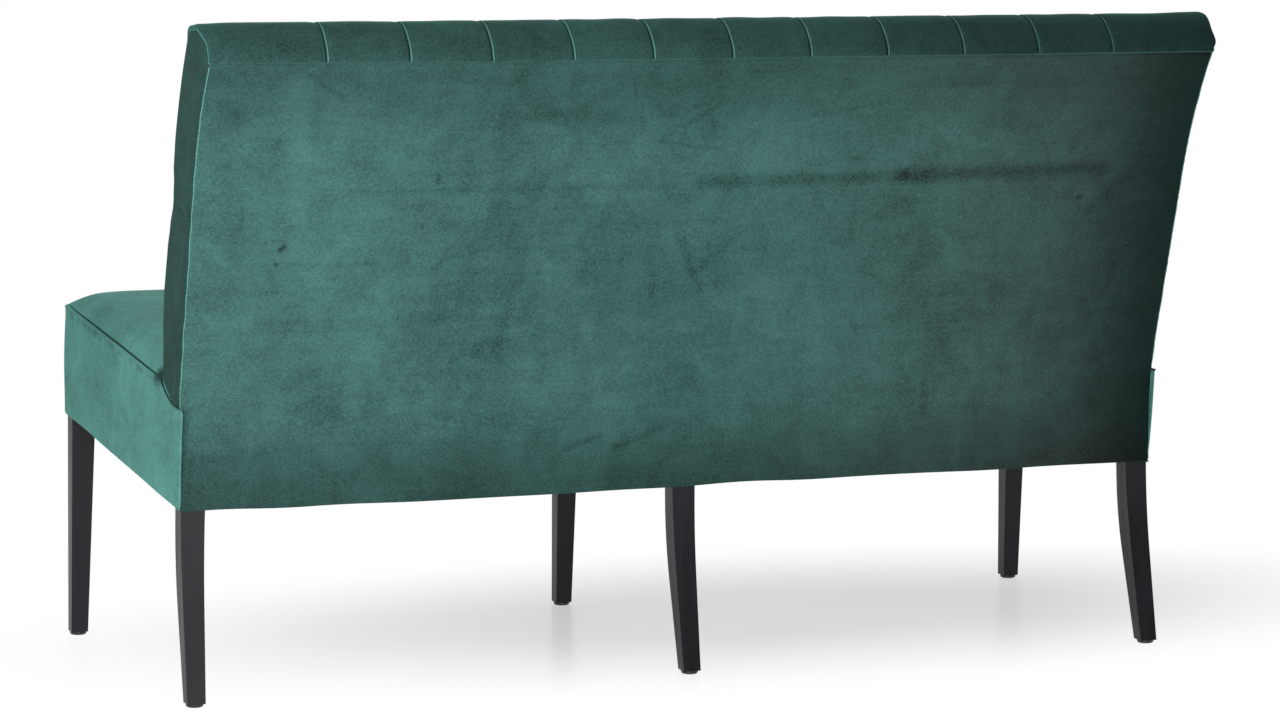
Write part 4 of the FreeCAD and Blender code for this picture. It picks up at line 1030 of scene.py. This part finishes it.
corner_push_reach = 0.09             # from the front edge, of the foam that fills the corners
corner_lift = 2.6 * mm
corner_lift_reach = 0.035
rim_reach = 5.0 * mm
rim_height = 2.5                     # mm
first_rise = 0.74                    # share of the crown that is reached close to the front edge
rear_fall = 0.36                     # share of the crown that is lost again towards the back

# Distances in mm from the rim of the seat top to its first columns and rows
rim_steps = np.array([0.0, 0.6, 1.5, 2.8, 4.5, 6.5, 9.0, 12.0, 16.0, 21.0, 28.0, 36.0])


def half_width(u):
    return half_back + end_slope * u


def border_path():
    """Plan of the seat box from the rear left corner round the front to the rear right one."""
    lean = math.atan(end_slope)
    corner_u = seat_depth - corner_radius
    centre = half_width(corner_u) - corner_radius / math.cos(lean)
    left = [(half_width(u), u, math.cos(lean), -math.sin(lean)) for u in np.linspace(0.0, corner_u, 140)]
    for turn in np.linspace(0.0, math.pi / 2.0, 9)[1:-1]:
        left.append((centre + corner_radius * math.cos(turn), corner_u + corner_radius * math.sin(turn),
                     math.cos(turn), math.sin(turn)))
    front = [(x, seat_depth, 0.0, 1.0) for x in np.linspace(centre, -centre, 360)]
    right = [(-x, u, -nx, nu) for x, u, nx, nu in left[::-1]]
    return np.array(left + front + right)


def border_inset(run, x, u, t, w, below):
    """How far the border lies within the plan, a share t of the way up its height."""
    ridge = -0.9 * mm * smooth((5.4 * mm - below) / (1.4 * mm))
    pucker = 0.34 * mm * ripples(run, 0.15 * w, 0.018, 41)
    pucker = pucker * np.exp(-((below - 12.0 * mm) / (12.0 * mm)) ** 2)
    wave = 0.28 * mm * ripples(run, w, 0.16, 42) * smooth(t * 4.0) * smooth((1.0 - t) * 4.0)
    belly = -1.0 * mm * math.sin(math.pi * t)
    tuck = 1.9 * mm * smooth((9.0 * mm - u) / (9.0 * mm))
    # the foam pushes the front corners out, most of all near their top
    puff = (2.6 + 1.6 * t) * mm * np.exp(-((seat_depth - u) / corner_push_reach) ** 2)
    puff = puff * smooth((np.abs(x) - 0.70) / 0.07)
    return np.minimum(ridge + pucker + wave + belly + 0.4 * mm, 1.2 * mm) + tuck - puff


def border_rows(run, x, u):
    """Inset and height of the rows of the border, from the hem up to the seam."""
    roll, hem = 2.2 * mm, 3.0 * mm
    near_corner = smooth((np.abs(x) - 0.75) / 0.02)
    low = -2.0 * mm + 6.0 * mm * near_corner * np.exp(-((seat_depth - u) / 0.012) ** 2)
    top = np.where((np.abs(x) > half_back - 1.0 * mm) & (u < 0.106),
                   np.interp(u / mm, *edge_under_back) * mm, seat_height)
    top = top + corner_lift * near_corner * np.exp(-((seat_depth - u) / corner_lift_reach) ** 2)
    rows = [(hem * (1.0 - math.sin(a)) + 0.0 * x, low + hem * (1.0 - math.cos(a)) + 0.0 * x)
            for a in np.linspace(0.0, math.pi / 2.0, 6)[:-1]]
    for t in np.linspace(0.0, 1.0, 44):
        w = low + hem + (top - roll - low - hem) * t
        rows.append((border_inset(run, x, u, t, w, top - w), w))
    for a in np.linspace(0.0, math.pi / 2.0, 6)[1:]:
        rows.append((roll * (1.0 - math.cos(a)) + 0.0 * x, top - roll + roll * math.sin(a)))
    rows.append((roll + 2.5 * mm + 0.0 * x, top - 1.2 * mm))
    return rows


def seat_border():
    x, u, nx, nu = border_path().T
    run = np.concatenate([[0.0], np.cumsum(np.hypot(np.diff(x), np.diff(u)))])
    points = []
    for inset, w in border_rows(run, x, u):
        w = w + 0.5 * mm * ripples(run, 0.0 * run, 0.2, 43) * (w < 30.0 * mm)
        y, z = seat_point(np.maximum(u, 1.2 * mm) - nu * inset, w)
        points.append(np.stack([x - nx * inset, y, z], axis=-1))
    first_of_seam = len(points) - 3

    def pick(i, j):
        # painted shade: the rows at the seam's groove, partly crushed pile, get a dark velvet
        return 1 if i >= first_of_seam else 0

    piece = cloth_piece("seat_border_velvet", np.array(points)[:, ::-1], velvet_border, seat_cloth,
                        others=[velvet_seam_shade], pick=pick)
    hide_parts("seat_border_cover")


seat_border()


def crown(from_end, from_front):
    """The crown's two shares, from the distances to the seat's end and to its front edge."""
    end_rise = 1.0 - (1.0 - np.clip(from_end / 0.25, 0.0, 1.0)) ** 13
    front_rise = first_rise * (1.0 - (1.0 - np.clip(from_front / 0.042, 0.0, 1.0)) ** 2.2)
    front_rise = front_rise + (1.0 - first_rise) * math.sin(min(from_front / 0.30, 1.0) * math.pi / 2.0)
    front_rise = front_rise - rear_fall * smooth((from_front - 0.25) / 0.24)
    return end_rise, front_rise


def rim_lip(distance):
    """Rise of the cloth next to the seam, at a distance from it."""
    return (1.0 - (1.0 - np.clip(distance / rim_reach, 0.0, 1.0)) ** 2) * rim_height * mm


def seat_top():
    inset = 2.6 * mm
    pad_u = 0.100
    front_u = seat_depth - inset
    across = np.concatenate([-1.0 + rim_steps * mm / half_front, np.linspace(-0.942, 0.942, 300),
                             1.0 - rim_steps[::-1] * mm / half_front])
    along = np.concatenate([front_u - rim_steps * mm, np.linspace(front_u - 42.0 * mm, pad_u + 20 * mm, 96),
                            np.linspace(pad_u + 16 * mm, pad_u - 40.0 * mm, 20)])
    grid = []
    for u in along:
        # the front corners are rounded in plan
        ahead = np.clip(u - (seat_depth - corner_radius), 0.0, corner_radius - inset)
        cut = corner_radius - math.sqrt(max(corner_radius ** 2 - ahead ** 2, 0.0))
        push = 2.2 * mm * math.exp(-((seat_depth - u) / corner_push_reach) ** 2)
        half = half_width(u) - inset - cut + push
        x = across * half
        from_end = half - np.abs(x)
        from_front = front_u - u
        end_rise, front_rise = crown(from_end, from_front)
        w = (seat_height - 1.6 * mm + np.minimum(rim_lip(from_end), rim_lip(from_front))
             + seat_crown * end_rise * front_rise)
        # behind it goes down under the back
        sink = 16.0 * mm * smooth((pad_u - 2.0 * mm - u) / (24.0 * mm))
        w = w - sink * smooth(from_end / 0.02)
        corner = corner_lift * math.exp(-((seat_depth - u) / corner_lift_reach) ** 2)
        w = w + corner * (1.0 - smooth((from_end - 8.0 * mm) / 0.06))
        # under the side of the back it follows the dip of the border's upper edge
        dip = seat_height - float(np.interp(u / mm, *edge_under_back)) * mm
        w = w - (dip + 1.0 * mm * smooth(dip / (4.0 * mm))) * (1.0 - smooth(from_end / 0.03))
        here = np.full(x.shape, u)
        waves = 0.55 * mm * ripples(x, here, 0.21, 51) * smooth(from_end / 0.05)
        puckers = 0.18 * mm * ripples(x, here, 0.018, 52)
        w = w + waves * smooth(from_front / 0.05)
        w = w + puckers * np.exp(-np.minimum(from_end, from_front) / 0.012)
        y, z = seat_point(u, w)
        grid.append(np.stack([x, y + 0.0 * x, z + 0.0 * x], axis=-1))
    columns = len(across)

    def pick(i, j):
        # painted shade: the rows and columns at the seam's groove, partly crushed pile, get a dark velvet
        return 1 if i < 2 or min(j, columns - 2 - j) < 2 else 0

    piece = cloth_piece("seat_top_velvet", np.array(grid), velvet_light, seat_cloth,
                        others=[velvet_seam_shade], pick=pick)
    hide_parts("seat_top_cover")


seat_top()


# Dust cover under the seat: a thin cloth stapled to the rails, notched round the legs

def dust_cover():
    inset = 6.0 * mm
    rows, columns = 60, 160
    front_notch_y, rear_notch_y = -0.312, 0.148
    grid = []
    for u in np.linspace(inset, seat_depth - inset, rows):
        x = np.linspace(-1.0, 1.0, columns) * (half_width(u) - inset)
        sag = 1.2 * mm * math.sin(math.pi * (u - inset) / (seat_depth - 2.0 * inset))
        w = -0.4 * mm - sag * np.sin(math.pi * np.abs(x) / half_back) ** 2
        y, z = seat_point(u, w)
        grid.append(np.stack([x, y + 0.0 * x, z + 0.0 * x], axis=-1))
    grid = np.array(grid)
    boxes = [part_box(leg) for leg in nodes if "_leg_" in leg]

    def skip(i, j):
        spot = grid[i:i + 2, j:j + 2].reshape(-1, 3)
        for low, high in boxes:
            if spot[:, 0].max() > low.x - 1 * mm and spot[:, 0].min() < high.x + 1 * mm:
                front = low.y < 0.0
                if front and spot[:, 1].min() < front_notch_y:
                    return True
                if not front and spot[:, 1].max() > rear_notch_y:
                    return True
        return False

    piece = new_piece("underside_cloth", grid, grid_faces(rows, columns, skip),
                      slot_materials["dust_cover"])
    shell = piece.modifiers.new("shell", "SOLIDIFY")
    shell.thickness = 0.5 * mm
    shell.offset = 0.0
    settle(piece)
    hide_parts("underside_cover")


dust_cover()


# Floor, light and camera

def white_light(tree, kind, strength):
    return added(tree, kind, {"Color": (1.0, 1.0, 1.0, 1.0), "Strength": strength}).outputs[0]


def floor():
    size = 60.0
    oval_x, oval_y = 0.95, 0.45
    material, tree, shader = new_material("floor_white")
    cloud = noise(tree, object_place(tree), 0.8, 2.0)
    colour = mixed(tree, cloud, (0.80, 0.80, 0.80, 1.0), (0.84, 0.84, 0.84, 1.0))
    feed(tree, shader, {"Base Color": colour, "Roughness": 0.22, "Specular IOR Level": 0.35})
    # the grey of the shadow gives way to white around an oval under the bench
    oval = object_place(tree, (1.0 / oval_x, 1.0 / oval_y, 1.0), (0.25 / oval_x, 0.20 / oval_y, 0.0))
    far = spread(tree, vectors(tree, "LENGTH", oval), 0.3, 1.38, 0.5, 1.0)
    ray = added(tree, "LightPath", {}).outputs
    seen = sums(tree, "MAXIMUM", ray["Is Camera Ray"], ray["Is Glossy Ray"])
    glow = white_light(tree, "Emission", 1.0)
    surface = either(tree, times(tree, far, seen), shader.outputs["BSDF"], glow)
    feed(tree, [n for n in tree.nodes if n.type == "OUTPUT_MATERIAL"][0], {"Surface": surface})
    mesh = bpy.data.meshes.new("floor")
    mesh.from_pydata([(-size, -size, 0.0), (size, -size, 0.0), (size, size, 0.0), (-size, size, 0.0)],
                     [], [(0, 1, 2, 3)])
    mesh.materials.append(material)
    plane = bpy.data.objects.new("floor", mesh)
    scene.collection.objects.link(plane)


floor()


room_light = 0.27


def white_world():
    world = bpy.data.worlds.new("studio")
    scene.world = world
    world.use_nodes = True
    tree = world.node_tree
    tree.nodes.clear()
    lit = white_light(tree, "Background", room_light)
    seen = white_light(tree, "Background", 1.0)
    ray = added(tree, "LightPath", {}).outputs
    added(tree, "OutputWorld", {"Surface": either(tree, ray["Is Camera Ray"], lit, seen)})


white_world()


def softbox(name, place, target, size, power):
    lamp = bpy.data.lights.new(name, "AREA")
    lamp.shape = "RECTANGLE"
    lamp.size, lamp.size_y = size
    lamp.energy = power
    box = bpy.data.objects.new(name, lamp)
    box.location = place
    box.rotation_euler = (Vector(target) - Vector(place)).to_track_quat("-Z", "Y").to_euler()
    box.visible_camera = False
    scene.collection.objects.link(box)


softbox("key", (1.7, 1.4, 0.9), (0.4, 0.2, 0.5), (0.9, 0.9), 16.0)
softbox("low_rear", (0.9, 2.4, 0.25), (0.2, 0.2, 0.7), (1.6, 0.4), 19.0)
softbox("overhead", (0.3, 0.2, 3.4), (0.0, 0.0, 0.4), (3.4, 2.6), 14.0)
softbox("front_fill", (-1.0, -4.2, 2.2), (0.0, 0.0, 0.5), (3.0, 2.2), 48.0)

# The camera as fitted to the photograph: yaw, pitch and roll in degrees, and its place
camera_turns = (20.1356, 7.2737, 0.3486)
camera_place = (2.14783, 5.63624 + fit_shift, 1.23127)


def photo_camera():
    yaw, pitch, roll = (math.radians(a) for a in camera_turns)
    forward = Vector((-math.sin(yaw) * math.cos(pitch), -math.cos(yaw) * math.cos(pitch), -math.sin(pitch)))
    right = forward.cross(Vector((0.0, 0.0, 1.0))).normalized()
    up = right.cross(forward)
    turned_right = right * math.cos(roll) + up * math.sin(roll)
    turned_up = up * math.cos(roll) - right * math.sin(roll)
    camera = bpy.data.cameras.new("photo_camera")
    camera.sensor_fit = "HORIZONTAL"
    camera.sensor_width = 36.0
    camera.lens = 118.125
    camera.clip_end = 200.0
    holder = bpy.data.objects.new("photo_camera", camera)
    turn = Matrix((turned_right, turned_up, -forward)).transposed()
    holder.matrix_world = Matrix.Translation(Vector(camera_place)) @ turn.to_4x4()
    scene.collection.objects.link(holder)
    scene.camera = holder


photo_camera()
scene.view_settings.view_transform = "Standard"
